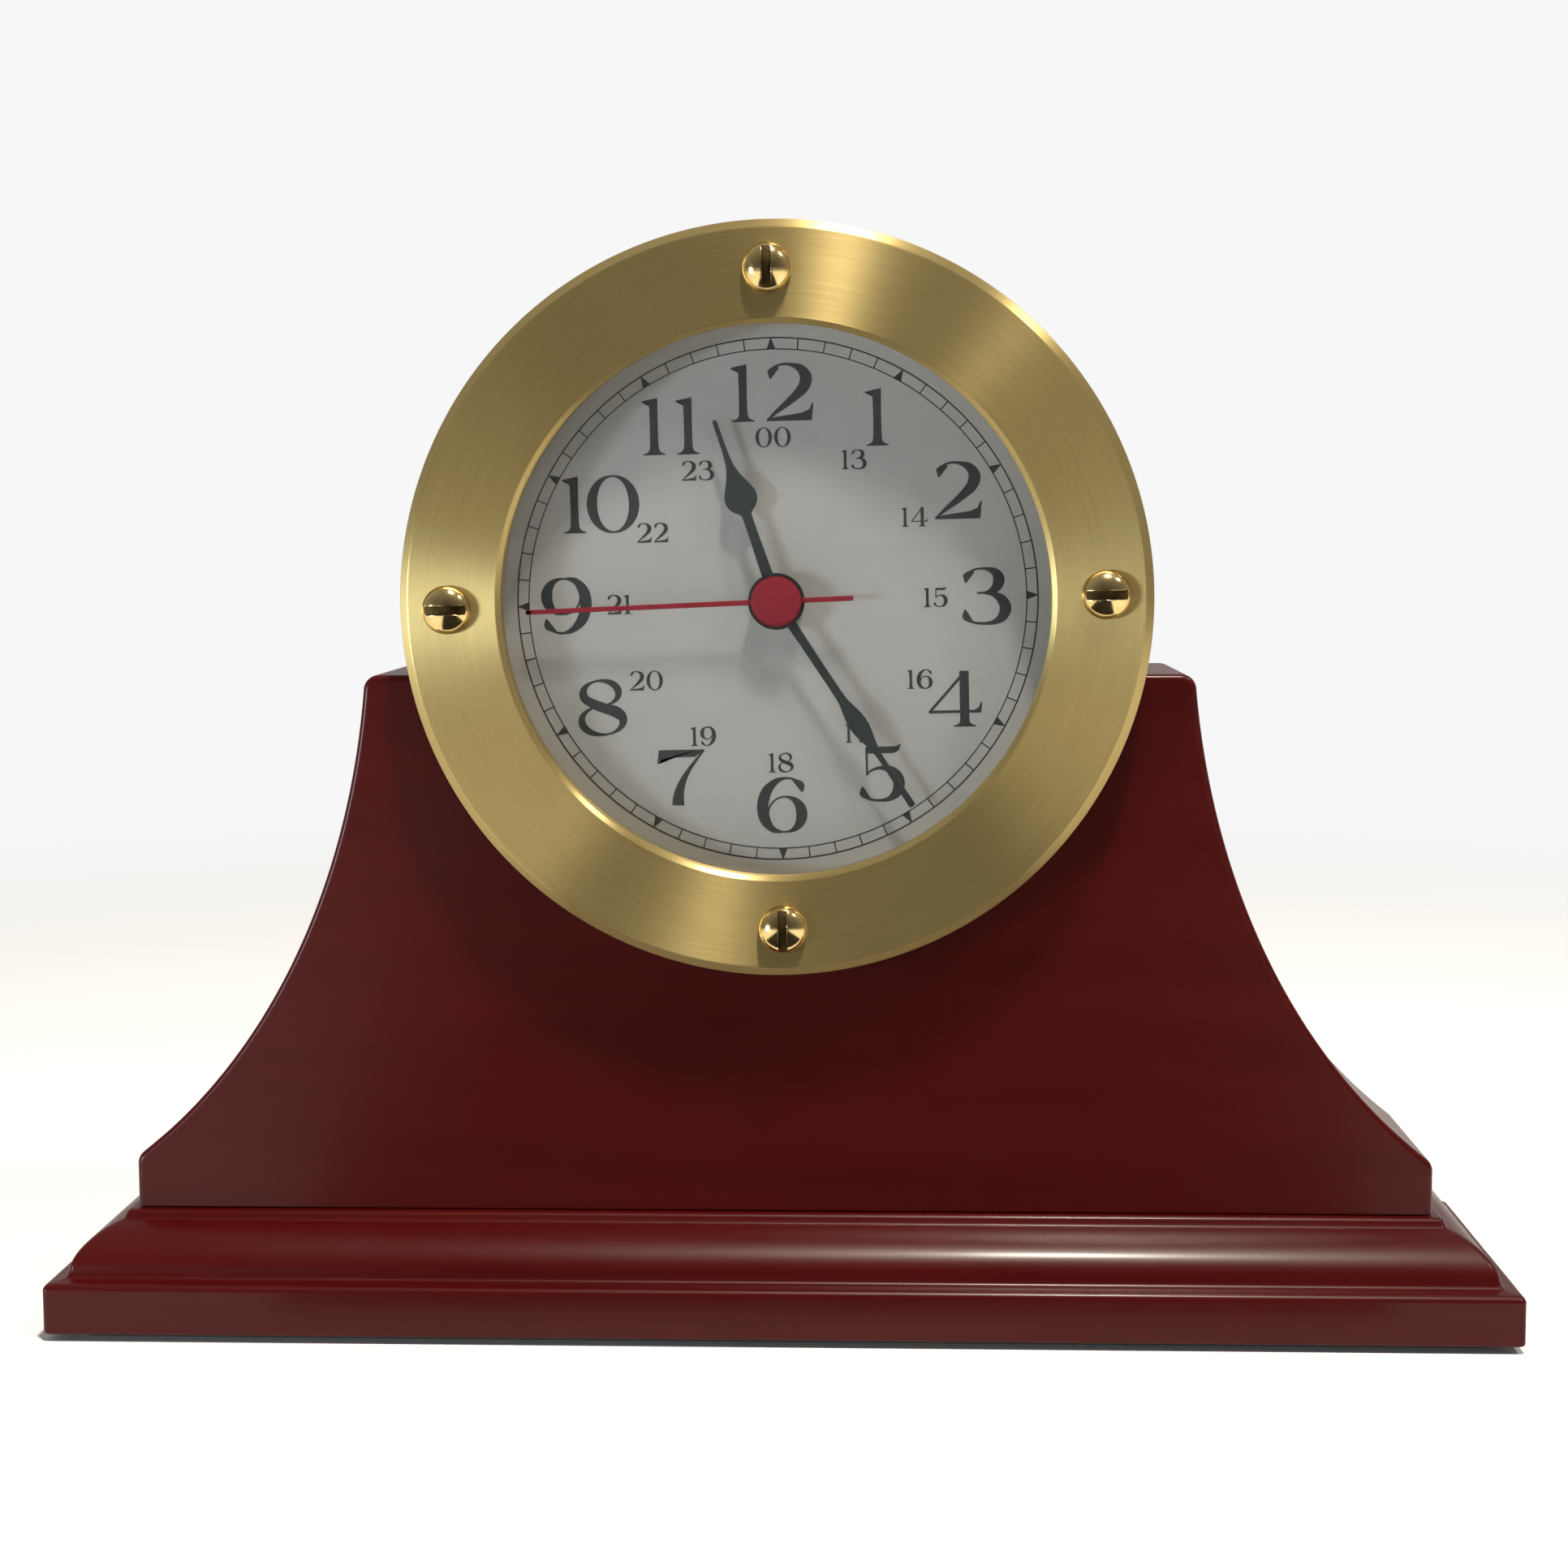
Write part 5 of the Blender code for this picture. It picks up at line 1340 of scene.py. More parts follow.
    def build(self) -> None:
        """Builds and dresses the case."""
        brass = self.brass.make()
        bright = self.bright.make()
        # Dark, dull brass for the screws' slots: painted shade in the recess.
        painted_shade_brass = BrightMetal("slot_painted_shade_brass", (0.10, 0.065, 0.025), (0.05, 0.032, 0.014), 0.55)
        self.slot_shade = painted_shade_brass.make()
        self.build_bezel(brass)
        for number, place in enumerate(self.screw_places(), 1):
            self.build_screw(number, place, bright)
        self.build_drum(brass)
        dress("glass", PaneGlass().make())
        rubber = FlatPaint("gasket_rubber", (0.022, 0.021, 0.020), (0.012, 0.012, 0.012), 0.7)
        dress("glass_gasket", rubber.make())
        steel = BrightMetal("zinc_steel", (0.55, 0.56, 0.57), (0.36, 0.37, 0.38), 0.3).make()
        for node in ("base_screw_1", "base_screw_2", "base_screw_3", "cradle_screw_1", "cradle_screw_2",
                     "battery_spring", "battery_contact", "quartz_crystal", "stator"):
            dress(node, steel)
        for node in ("dial_washer", "hex_nut", "threaded_bushing", "centre_arbor"):
            dress(node, bright)


# Dial.


class NumeralSize(Enum):
    """The two rings of numerals, as their height in millimetres."""

    HOURS = 11.4
    DAY = 3.9


class Nib(Enum):
    """Ways to draw a part of a numeral."""

    CURVE = "smooth pen stroke"
    LINE = "straight pen stroke"
    WEDGE = "filled shape"
    OVAL = "bowl"
    FOOT = "serif foot"


@dataclass(frozen=True)
class Spot:
    """Where a numeral's lower left corner stands, its size and its least stroke width."""

    corner: Points
    size: tuple[float, float]
    bold: float


# Each numeral's parts in its own units, one unit high. Strokes are (x, y, width) and shapes (x, y).
LOW_WEDGE = [(0.0, 0.15), (0.045, 0.27), (0.07, 0.27), (0.19, 0.075), (0.14, 0.035), (0.035, 0.085)]
HIGH_WEDGE = [(0.025, 0.875), (0.06, 0.74), (0.09, 0.74), (0.235, 0.925), (0.19, 0.965), (0.09, 0.93)]

NUMERALS: dict[str, list[tuple[Nib, object]]] = {
    "0": [
        (Nib.OVAL, ((0.465, 0.5), (0.375, 0.492), (0.185, 0.185), 0.03, 0.0)),
    ],
    "1": [
        (Nib.LINE, [(0.205, 0.02, 0.15), (0.205, 0.5, 0.138), (0.205, 0.975, 0.15)]),
        (Nib.WEDGE, [(0.28, 1.0), (0.005, 0.945), (0.005, 0.925), (0.09, 0.905), (0.14, 0.85),
            (0.28, 0.86)]),
        (Nib.FOOT, 0.205),
    ],
    "2": [
        (Nib.CURVE, [(0.05, 0.83, 0.035), (0.13, 0.93, 0.035), (0.29, 0.985, 0.04),
            (0.44, 0.975, 0.06), (0.60, 0.91, 0.14), (0.69, 0.79, 0.20), (0.695, 0.68, 0.21),
            (0.64, 0.56, 0.19), (0.51, 0.43, 0.15), (0.34, 0.29, 0.11), (0.17, 0.16, 0.07),
            (0.03, 0.04, 0.03)]),
        (Nib.WEDGE, HIGH_WEDGE),
        (Nib.WEDGE, [(0.0, 0.0), (0.64, 0.0), (0.79, 0.0), (0.825, 0.30), (0.795, 0.30), (0.745, 0.19),
            (0.62, 0.135), (0.0, 0.05)]),
    ],
    "3": [
        (Nib.WEDGE, HIGH_WEDGE),
        (Nib.CURVE, [(0.10, 0.90, 0.035), (0.23, 0.97, 0.035), (0.40, 0.985, 0.045),
            (0.56, 0.94, 0.12), (0.645, 0.85, 0.19), (0.655, 0.75, 0.20), (0.60, 0.64, 0.16),
            (0.48, 0.575, 0.07), (0.38, 0.56, 0.035)]),
        (Nib.LINE, [(0.27, 0.558, 0.035), (0.46, 0.558, 0.035)]),
        (Nib.CURVE, [(0.40, 0.555, 0.035), (0.56, 0.53, 0.09), (0.70, 0.44, 0.17), (0.77, 0.29, 0.205),
            (0.71, 0.13, 0.17), (0.57, 0.04, 0.09), (0.40, 0.018, 0.05), (0.22, 0.035, 0.045),
            (0.09, 0.10, 0.04)]),
        (Nib.WEDGE, LOW_WEDGE),
    ],
    "4": [
        (Nib.LINE, [(0.635, 0.02, 0.165), (0.635, 0.99, 0.165)]),
        (Nib.LINE, [(0.66, 0.985, 0.05), (0.015, 0.27, 0.045)]),
        (Nib.WEDGE, [(0.0, 0.245), (0.80, 0.245), (0.93, 0.245), (0.95, 0.43), (0.925, 0.43),
            (0.88, 0.33), (0.80, 0.295), (0.0, 0.295)]),
        (Nib.FOOT, 0.635),
    ],
    "5": [
        (Nib.WEDGE, [(0.13, 0.86), (0.62, 0.86), (0.71, 0.90), (0.76, 1.02), (0.735, 1.02),
            (0.68, 0.985), (0.62, 0.98), (0.13, 0.98)]),
        (Nib.LINE, [(0.145, 0.97, 0.04), (0.145, 0.47, 0.04)]),
        (Nib.CURVE, [(0.13, 0.475, 0.035), (0.22, 0.555, 0.04), (0.38, 0.60, 0.06), (0.55, 0.57, 0.13),
            (0.67, 0.46, 0.19), (0.71, 0.31, 0.205), (0.66, 0.15, 0.17), (0.53, 0.045, 0.09),
            (0.38, 0.018, 0.05), (0.21, 0.035, 0.045), (0.09, 0.10, 0.04)]),
        (Nib.WEDGE, LOW_WEDGE),
    ],
    "6": [
        (Nib.CURVE, [(0.76, 0.90, 0.035), (0.66, 0.965, 0.035), (0.51, 0.982, 0.045),
            (0.34, 0.92, 0.11), (0.18, 0.75, 0.185), (0.105, 0.50, 0.205), (0.14, 0.25, 0.19),
            (0.27, 0.07, 0.11), (0.44, 0.015, 0.04)]),
        (Nib.OVAL, ((0.50, 0.335), (0.30, 0.315), (0.20, 0.02), 0.03, 0.0)),
        (Nib.WEDGE, [(0.80, 0.73), (0.835, 0.735), (0.865, 0.84), (0.83, 0.915), (0.70, 0.965),
            (0.64, 0.945)]),
    ],
    "7": [
        (Nib.WEDGE, [(0.02, 0.75), (0.05, 0.75), (0.09, 0.82), (0.20, 0.858), (0.70, 0.865),
            (0.87, 0.985), (0.87, 0.995), (0.70, 0.995), (0.20, 0.995), (0.05, 0.995)]),
        (Nib.CURVE, [(0.855, 0.975, 0.03), (0.74, 0.84, 0.045), (0.60, 0.66, 0.07),
            (0.485, 0.47, 0.11), (0.41, 0.28, 0.16), (0.38, 0.12, 0.20), (0.375, 0.0, 0.215)]),
    ],
    "8": [
        (Nib.OVAL, ((0.43, 0.76), (0.315, 0.222), (0.13, 0.15), 0.035, 0.35)),
        (Nib.OVAL, ((0.445, 0.27), (0.37, 0.252), (0.155, 0.13), 0.035, 0.35)),
        (Nib.CURVE, [(0.14, 0.68, 0.12), (0.27, 0.58, 0.165), (0.45, 0.505, 0.175),
            (0.64, 0.425, 0.165), (0.78, 0.32, 0.12)]),
    ],
}


@dataclass
class Dial:
    """The silver plate with its minute track, large hour numerals and small 24-hour numerals."""

    front: float = -0.65
    print_height: float = 0.035
    track_outer: float = 52.55
    track_inner: float = 50.3
    outer_line: float = 0.28
    inner_line: float = 0.22
    mark_half: float = 0.12
    hour_mark_half: tuple[float, float] = (0.88, 0.06)
    hour_radii: tuple[float, ...] = (
        41.7, 41.9, 42.6, 42.2, 41.1, 40.9, 41.5, 40.9, 41.7, 42.7, 40.5, 41.0)
    day_radii: tuple[float, ...] = (
        32.8, 32.3, 32.4, 32.0, 32.9, 31.3, 32.8, 31.3, 31.1, 32.0, 28.6, 30.6)
    points: list[Points] = field(default_factory=list)
    faces: list[list[int]] = field(default_factory=list)
    count: int = 0
    layer: int = 0

    def add(self, rings: Points, wrap: bool) -> None:
        """Adds a strip of four-cornered sections, closed by its ends or joined round.

        Args:
            rings: Sections of shape (n, 4, 3): two low corners, then two high ones.
            wrap: Whether the last section joins the first.
        """
        self.faces += tube_faces(len(rings), 4, wrap, self.count)
        self.points.append(rings.reshape(-1, 3))
        self.count += 4 * len(rings)

    def stroke(self, left: Points, right: Points, wrap: bool = False) -> None:
        """A raised strip of ink between two edge lines, at one of eight slight heights in turn.

        Args:
            left: One edge on the face, of shape (n, 2).
            right: The other edge, point for point.
            wrap: Whether the strip joins its own start.
        """
        self.layer = (self.layer + 1) % 8
        low = np.full(len(left), self.front + 0.01)
        high = low + self.print_height + 0.0015 * self.layer
        corners = [np.c_[left, low], np.c_[right, low], np.c_[right, high], np.c_[left, high]]
        self.add(np.stack(corners, axis=1), wrap)

    def pen(self, controls: Sequence[tuple[float, float, float]], spot: Spot, closed: bool = False,
            straight: bool = False) -> None:
        """One pen stroke of a numeral: a smooth line with a changing width.

        The edges are the line plus and minus half the width times the line's normal.

        Args:
            controls: (x, y, width) in the numeral's own units.
            spot: Where and how large the numeral is.
            closed: Whether the stroke joins its own start.
            straight: Whether to join the controls by straight lines.
        """
        data = np.array(controls)
        data[:, 2] = np.maximum(data[:, 2], spot.bold)
        line = data if straight else smooth_through(data, 8, closed)
        flat = line[:, :2] * np.array(spot.size)
        across = sideways(flat, closed) * line[:, 2:] * spot.size[1] / 2
        self.stroke(spot.corner + flat + across, spot.corner + flat - across, closed)

    def wedge(self, corners: Sequence[tuple[float, float]], spot: Spot) -> None:
        """A filled shape of a numeral, given by an even number of corners and laid as a strip.

        The first half of the corners is one edge. The second half, backwards, is the other.

        Args:
            corners: Corners in the numeral's own units, going round.
            spot: Where and how large the numeral is.
        """
        flat = np.array(corners) * np.array(spot.size) + spot.corner
        half = len(flat) // 2
        self.stroke(flat[:half], flat[half:][::-1])

    def oval(self, centre: tuple[float, float], half: tuple[float, float], thick: tuple[float, float],
             hair: float, tilt: float, spot: Spot) -> None:
        """A bowl of a numeral: an ellipse whose stroke swells at its sides.

        At the angle a the point is centre + half (cos a, sin a). The width is the hairline plus the
        rest of the side's thickness times |cos(a - tilt)| to the power 1.6.

        Args:
            centre: Centre of the bowl, in the numeral's units.
            half: Half width and half height of its middle line.
            thick: Thickness at its right and left side.
            hair: Thickness at its top and bottom.
            tilt: Angle in radians by which the thick parts are turned.
            spot: Where and how large the numeral is.
        """
        a = np.linspace(0.0, 2 * np.pi, 28, endpoint=False)
        swell = np.abs(np.cos(a - tilt)) ** 1.6
        side = np.where(np.cos(a) > 0, thick[0], thick[1])
        width = hair + (side - hair) * swell
        controls = np.c_[centre[0] + half[0] * np.cos(a), centre[1] + half[1] * np.sin(a), width]
        self.pen(controls, spot, closed=True)

    def foot(self, x: float, spot: Spot) -> None:
        """A stem's flat foot, flaring out to a thin serif.

        Args:
            x: Middle of the stem.
            spot: Where and how large the numeral is.
        """
        flare = [(x, 0.17, 0.15), (x, 0.10, 0.165), (x, 0.06, 0.21), (x, 0.035, 0.29), (x, 0.022, 0.39),
                 (x, 0.0, 0.39)]
        self.pen(flare, spot, straight=True)

    def numeral(self, digit: str, spot: Spot) -> None:
        """Draws one digit. A nine is a six turned half round.

        Args:
            digit: The digit.
            spot: Where and how large it is.
        """
        if digit == "9":
            corner = spot.corner + np.array([0.9, 1.0]) * np.array(spot.size)
            spot = Spot(corner, (-spot.size[0], -spot.size[1]), spot.bold)
            digit = "6"
        for nib, data in NUMERALS[digit]:
            if nib is Nib.WEDGE:
                self.wedge(data, spot)
            elif nib is Nib.OVAL:
                self.oval(*data, spot)
            elif nib is Nib.FOOT:
                self.foot(data, spot)
            else:
                self.pen(data, spot, straight=nib is Nib.LINE)

    def number(self, text: str, centre: Points, height: float, gap: float, squeeze: float,
               bold: float) -> None:
        """Draws a number with its box centred on a point, upright on the dial.

        Args:
            text: Its digits.
            centre: Centre on the face.
            height: Height of the digits, in millimetres.
            gap: Space between two digits.
            squeeze: Width of the digits, as a share of their full width.
            bold: Least width of a stroke, in digit heights.
        """
        widths = dict(zip("0123456789", (0.93, 0.41, 0.82, 0.875, 0.95, 0.82, 0.9, 0.87, 0.89, 0.9)))
        size = (height * squeeze, height)
        total = sum(widths[digit] for digit in text) * size[0] + gap * (len(text) - 1)
        corner = np.array(centre) - np.array([total, height]) / 2
        for digit in text:
            self.numeral(digit, Spot(corner, size, bold))
            corner = corner + np.array([widths[digit] * size[0] + gap, 0.0])

    def circle(self, radius: float, width: float) -> None:
        """A printed circle: two edges at the radius plus and minus half the width.

        Args:
            radius: Its radius.
            width: Its width.
        """
        a = np.linspace(0.0, 2 * np.pi, 240, endpoint=False)
        way = np.stack([np.cos(a), np.sin(a)], axis=1)
        self.stroke(way * (radius - width / 2), way * (radius + width / 2), True)

    def build(self) -> None:
        """Draws the track and the numerals, and dresses the plate."""
        self.circle(self.track_outer, self.outer_line)
        self.circle(self.track_inner, self.inner_line)
        for minute in range(60):
            turn = math.radians(90.0 - 6.0 * minute)
            way = np.array([math.cos(turn), math.sin(turn)])
            side = np.array([-way[1], way[0]])
            ends = np.stack([way * self.track_inner, way * self.track_outer])
            self.stroke(ends + side * self.mark_half, ends - side * self.mark_half)
            if minute % 5 == 0:
                half = np.array(self.hour_mark_half)[:, None]
                self.stroke(ends + side * half, ends - side * half)
        for hour in range(12):
            turn = math.radians(90.0 - 30.0 * hour)
            way = np.array([math.cos(turn), math.sin(turn)])
            text = str(hour or 12)
            gap = {"10": 0.2, "11": 2.2, "12": 2.4}.get(text, 0.0)
            self.number(text, way * self.hour_radii[hour], NumeralSize.HOURS.value, gap, 1.0, 0.032)
            day = "00" if hour == 0 else str(hour + 12)
            self.number(day, way * self.day_radii[hour], NumeralSize.DAY.value, 0.5, 0.9, 0.055)
        printing = make_piece("dial_printing", FACE.world(np.concatenate(self.points)), self.faces)
        ink = FlatPaint("dial_ink", (0.028, 0.034, 0.034), (0.020, 0.025, 0.025), 0.5).make()
        wear(printing, ink, "hand_black")
        dress("dial", SatinDial().make())


# Hands.


@dataclass
class Hands:
    """Black spade hour hand, black leaf minute hand and a red second hand with its cap."""

    thickness: float = 0.4
    hour_angle: float = 342.3
    minute_angle: float = 147.6
    second_angle: float = 268.8
    hour_front: float = 2.46
    minute_front: float = 3.15
    second_front: float = 3.85
    hour_hub: tuple[float, float] = (5.0, 2.6)
    minute_hub: tuple[float, float] = (5.7, 1.65)
    black: FlatPaint = FlatPaint("hand_paint", (0.026, 0.033, 0.033), (0.019, 0.025, 0.025), 0.42,
                                 specular=0.4)
    red: FlatPaint = FlatPaint("red_paint", (0.190, 0.014, 0.024), (0.165, 0.011, 0.020), 0.55,
                               specular=0.2)

    def blade(self, name: str, outline: Sequence[tuple[float, float]], angle: float, front: float,
              edge: float = 0.1) -> bpy.types.Object:
        """A hand's blade: a smooth outline of (distance, half width) carried out from the centre.

        Args:
            name: Name of the blade.
            outline: Distances and half widths, in millimetres.
            angle: Clockwise angle from twelve, in degrees.
            front: Height of its front.
            edge: Bevel along its front edges.

        Returns:
            The blade.
        """
        line = smooth_through(np.array(outline), 8)
        turn = math.radians(90.0 - angle)
        way = np.array([math.cos(turn), math.sin(turn)])
        back = front - self.thickness
        return ribbon(name, line[:, :1] * way, 2 * line[:, 1], back, front, edge, sharp=30.0)

    def hub(self, name: str, radius: float, hole: float, front: float) -> bpy.types.Object:
        """A turned disc round the arbor.

        Args:
            name: Name of the disc.
            radius: Its radius.
            hole: Radius of its hole.
            front: Height of its front.

        Returns:
            The disc.
        """
        back = front - self.thickness
        corners = [(hole, back, 0.0), (radius, back, 0.0), (radius, front, 0.1), (hole, front, 0.0)]
        return lathe(name, eased(corners), 96)

    def build(self) -> None:
        """Builds and dresses the four pieces, each riding on its own arbor."""
        black, red = self.black.make(), self.red.make()
        spade = [(4.2, 1.2), (8.0, 1.1), (14.0, 1.0), (17.8, 1.0), (18.6, 1.25), (19.3, 2.1), (20.3, 2.9),
                 (21.4, 3.25), (22.6, 3.2), (24.0, 2.65), (25.6, 1.85), (27.3, 1.15), (29.0, 0.75),
                  (31.5, 0.55),
                 (35.0, 0.48), (37.5, 0.46), (38.0, 0.3), (38.2, 0.08)]
        leaf = [(4.8, 1.0), (10.0, 0.9), (18.0, 0.86), (23.0, 0.9), (24.8, 1.1), (26.8, 1.55), (28.6, 1.85),
                (30.3, 1.88), (32.2, 1.6), (34.2, 1.1), (36.2, 0.72), (38.5, 0.58), (43.0, 0.6), (48.9, 0.68),
                (49.4, 0.55), (49.6, 0.2)]
        bar = [(-15.4, 0.35), (-15.2, 0.5), (-12.0, 0.52), (0.0, 0.52), (30.0, 0.5), (48.9, 0.46),
               (49.4, 0.34),
               (49.6, 0.12)]
        hour = joined("hour_hand_blade", [self.blade("hour_blade", spade, self.hour_angle, 2.45),
                                          self.hub("hour_hub", *self.hour_hub, self.hour_front)])
        wear(hour, black, "hand_black", "hour_hand", body=Body.HOURS)
        minute = joined("minute_hand_blade", [self.blade("minute_blade", leaf, self.minute_angle, 3.14),
                                              self.hub("minute_hub", *self.minute_hub, self.minute_front)])
        wear(minute, black, "hand_black", "minute_hand", body=Body.MINUTES)
        second = self.blade("second_hand_blade", bar, self.second_angle, self.second_front, 0.08)
        wear(second, red, "hand_red", "second_hand", body=Body.SECONDS)
        corners = [(5.1, 4.15, 0.05), (5.1, 4.5, 0.2), (4.5, 4.72, 0.5), (2.6, 4.85, 0.8)]
        rim = eased(corners + [(0.0, 4.85, 0.0), (0.0, 4.15, 0.0)])
        cap = lathe("second_hand_disc", rim, 96, sharp=40.0)
        wear(cap, red, "hand_red", "second_hand_cap", body=Body.SECONDS)


# Movement.


@dataclass
class Movement:
    """The quartz movement behind the dial: its tray, cover, knob, cell, coil, wheels and electronics."""

    cell_radius: float = 7.25
    cell_half: float = 24.5
    cell_nub: float = 1.3
    cell_place: tuple[float, float] = (-18.55, -11.9)

    def build_cell(self) -> bpy.types.Object:
        """A turned cell lying along x: the profile (x, r) goes round as (x, r cos a, r sin a)."""
        end, radius = self.cell_half, self.cell_radius
        corners = [(end + self.cell_nub, 2.7, 0.4), (end - 0.2, 2.7, 0.1), (end - 0.2, radius - 1.0, 0.15),
                   (end - 0.7, radius, 0.5), (0.7 - end, radius, 0.5), (-end, radius - 0.9, 0.3)]
        rim = eased(corners, 5)
        profile = np.concatenate([[(end + self.cell_nub, 0.0)], rim, [(-end, 0.0)]])
        steps = 72
        points = turned(profile[:, ::-1], steps, self.cell_place)[:, [2, 0, 1]]
        piece = make_piece("cell", FACE.world(points), grid_faces(len(profile), steps, True, True))
        return wear(piece, CellJacket().make(), "battery_skin", "aa_battery")

    def build(self) -> None:
        """Builds the finer covers, knob and cell, and dresses the rest."""
        black = FlatPaint("moulded_black", (0.020, 0.020, 0.021), (0.013, 0.013, 0.014), 0.42, 3800.0).make()
        white = FlatPaint("wheel_resin", (0.62, 0.60, 0.54), (0.54, 0.52, 0.46), 0.4, 3200.0).make()
        rubber = FlatPaint("washer_rubber", (0.022, 0.021, 0.020), (0.012, 0.012, 0.012), 0.75).make()
        for node, name, radius, body in (("movement_case", "movement_tray", 0.35, Body.STAND),
                                         ("rear_cover", "movement_cover", 0.35, Body.STAND),
                                         ("setting_knob", "fluted_knob", 0.1, Body.KNOB)):
            wear(softened(node, name, radius), black, "black_plastic", node, body=body)
        self.build_cell()
        for node in ("rotor", "intermediate_wheel", "seconds_wheel", "third_wheel", "centre_wheel",
                     "reverse_wheel", "hour_wheel"):
            dress(node, white)
        dress("rubber_washer", rubber)
        resin = FlatPaint("potting_resin", (0.012, 0.012, 0.013), (0.008, 0.008, 0.009), 0.3)
        dress("driver_chip", resin.make())
        dress("coil", Winding().make())
        dress("circuit_board", PrintedBoard().make())


# Stage.


@dataclass(frozen=True)
class Lamp:
    """A soft rectangular studio lamp aimed at a point of the clock."""

    name: str
    place: tuple[float, float, float]
    size: tuple[float, float]
    power: float
    colour: Colour = (1.0, 1.0, 1.0)
    target: tuple[float, float, float] = (0.0, 0.0, 0.13)

    def build(self) -> bpy.types.Object:
        """Adds the lamp and turns it towards its target."""
        light = bpy.data.lights.new(self.name, "AREA")
        light.shape = "RECTANGLE"
        light.size, light.size_y = self.size
        light.energy = self.power
        light.color = self.colour
        lamp = put(self.name, light)
        lamp.location = self.place
        aim = Vector(self.target) - Vector(self.place)
        lamp.rotation_euler = aim.to_track_quat("-Z", "Y").to_euler()
        return lamp


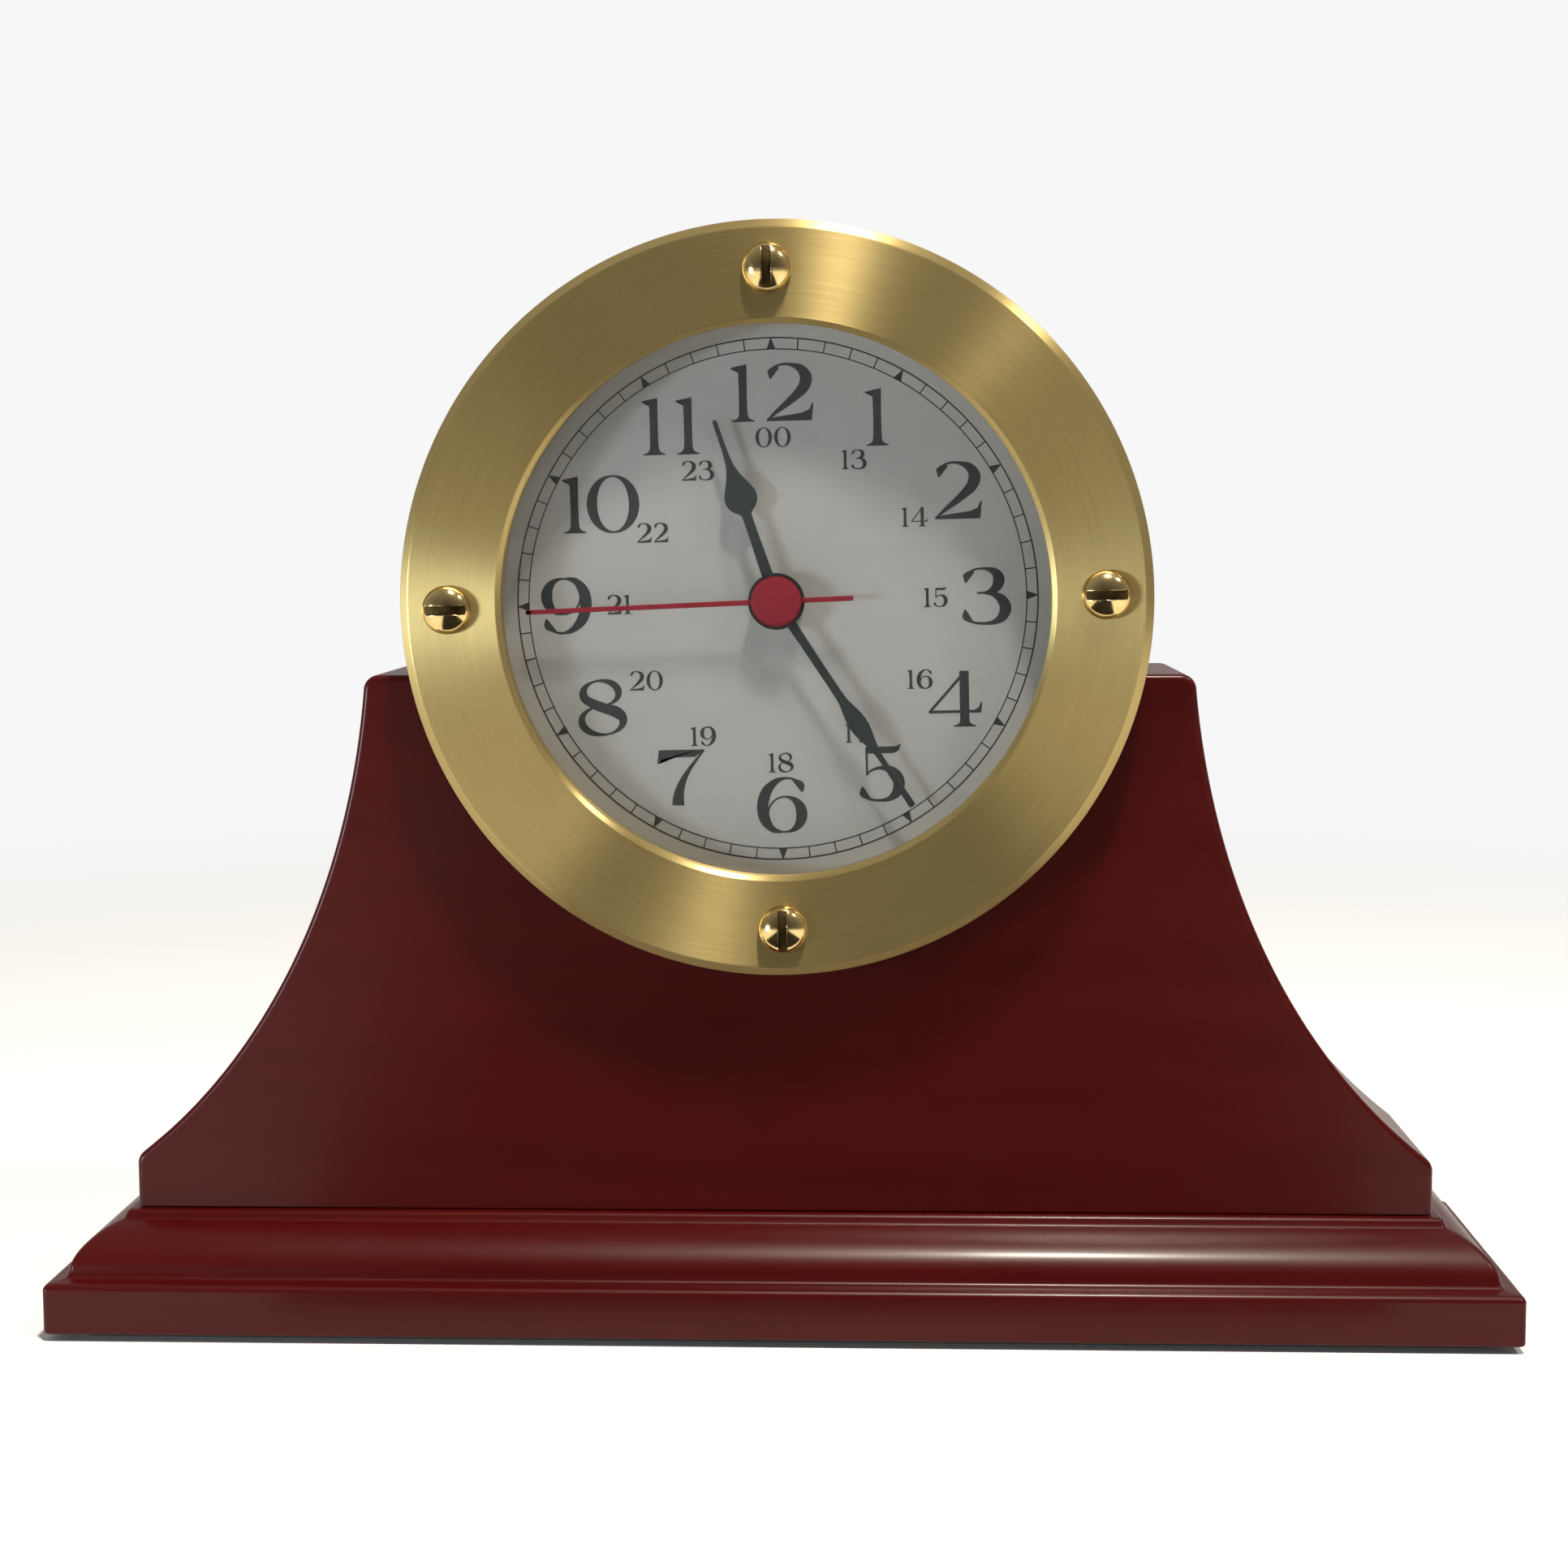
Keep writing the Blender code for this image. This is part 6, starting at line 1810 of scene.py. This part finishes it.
@dataclass
class Stage:
    """Pale floor, studio lamps, surrounding light and camera."""

    lamps: tuple[Lamp, ...] = (
        Lamp("key_lamp", (0.22, -0.52, 1.55), (0.12, 0.17), 32.0, (1.0, 0.94, 0.82)),
        Lamp("top_right_lamp", (1.05, -0.55, 1.35), (0.09, 0.09), 9.0, (1.0, 0.95, 0.86)),
        Lamp("low_left_lamp", (-0.95, -0.75, 0.10), (0.2, 0.2), 7.0, (0.80, 0.91, 1.0)),
    )
    eye: tuple[float, float, float] = (22.36, -551.71, 165.21)
    yaw: float = math.radians(-2.277)
    pitch: float = math.radians(5.659)
    roll: float = math.radians(-0.192)
    lens: float = 60.20

    def build_floor(self) -> None:
        """A wide pale floor that runs out into an even white, as a paper sweep does."""
        recipe = Recipe("pale_floor")
        cloud = recipe.noise(recipe.place, 3.0, 3.0)
        recipe.set(Base_Color=recipe.ramp(cloud, [(0.3, (0.80, 0.80, 0.80)), (0.7, (0.83, 0.83, 0.83))]),
                   Roughness=0.9, Specular_IOR_Level=0.1)
        length = recipe.add("ShaderNodeVectorMath", {"Vector": recipe.place}, operation="LENGTH")
        reach = length.outputs["Value"]
        far = recipe.add("ShaderNodeMapRange", {"Value": reach, "From Min": 0.25, "From Max": 1.0},
                         interpolation_type="SMOOTHSTEP").outputs["Result"]
        seen = recipe.add("ShaderNodeLightPath").outputs["Is Camera Ray"]
        sweep = recipe.add("ShaderNodeEmission", {"Color": (0.93, 0.93, 0.93, 1.0)})
        mixed = recipe.mix(recipe.calc("MULTIPLY", far, seen), recipe.shader, sweep)
        recipe.feed(recipe.tree.nodes["Material Output"].inputs["Surface"], mixed)
        mesh = bpy.data.meshes.new("floor")
        side = 30.0
        mesh.from_pydata([(-side, -side, 0.0), (side, -side, 0.0), (side, side, 0.0), (-side, side, 0.0)], [],
                         [(0, 1, 2, 3)])
        mesh.materials.append(recipe.material)
        put("floor", mesh)

    def build_card(self) -> None:
        """A dark card on the floor in front, which shows only in reflections."""
        recipe = Recipe("dark_card")
        recipe.set(Base_Color=(0.02, 0.02, 0.02), Roughness=0.9, Specular_IOR_Level=0.0)
        mesh = bpy.data.meshes.new("dark_card")
        corners = [(-3900, -28000, 1), (4100, -28000, 1), (130, -60, 1), (-110, -60, 1)]
        mesh.from_pydata((np.array(corners) * MM).tolist(), [], [(0, 1, 2, 3)])
        mesh.materials.append(recipe.material)
        card = put("dark_card", mesh)
        card.visible_camera = False
        card.visible_diffuse = False
        card.visible_shadow = False

    def build_world(self) -> None:
        """Even surrounding light, brighter above and behind. The camera sees it as plain pale."""
        world = bpy.data.worlds.new("studio")
        bpy.context.scene.world = world
        world.use_nodes = True
        nodes = Nodes(world.node_tree)
        nodes.tree.nodes.clear()
        way = nodes.add("ShaderNodeTexCoord").outputs["Generated"]
        parts = nodes.add("ShaderNodeSeparateXYZ", {"Vector": way}).outputs
        height = nodes.add("ShaderNodeMath", {0: parts["Z"], 1: 0.55, 2: parts["Y"]},
                           operation="MULTIPLY_ADD")
        strength = nodes.add("ShaderNodeMapRange", {"Value": height.outputs["Value"], "From Min": -0.8,
                                                    "From Max": 1.1, "To Min": 0.09, "To Max": 0.52})
        glow = nodes.add("ShaderNodeBackground", {"Color": (1.0, 0.97, 0.92, 1.0),
                                                  "Strength": strength.outputs["Result"]})
        seen = nodes.add("ShaderNodeBackground", {"Color": (0.93, 0.93, 0.93, 1.0)})
        path = nodes.add("ShaderNodeLightPath").outputs["Is Camera Ray"]
        nodes.add("ShaderNodeOutputWorld", {"Surface": nodes.mix(path, glow, seen)})

    def build_camera(self) -> None:
        """The camera, turned by its yaw, pitch and roll from a level look along +y."""
        data = bpy.data.cameras.new("camera")
        data.lens = self.lens
        data.sensor_width = 36.0
        data.clip_start = 0.01
        camera = put("camera", data)
        turn = Matrix.Rotation(-self.yaw, 4, "Z") @ Matrix.Rotation(math.pi / 2 - self.pitch, 4, "X")
        camera.matrix_world = (Matrix.Translation(Vector(self.eye) * MM) @ turn
                               @ Matrix.Rotation(self.roll, 4, "Z"))
        bpy.context.scene.camera = camera

    def build(self) -> None:
        """Builds the whole stage."""
        self.build_floor()
        self.build_card()
        self.build_world()
        for lamp in self.lamps:
            lamp.build()
        self.build_camera()
        bpy.context.scene.view_settings.view_transform = "Standard"


def main() -> None:
    """Builds the clock's sub-assemblies and the stage round it."""
    for part in (Stand(), Case(), Dial(), Hands(), Movement(), Stage()):
        LOG.info("building %s", type(part).__name__)
        part.build()


if __name__ == "__main__":
    main()
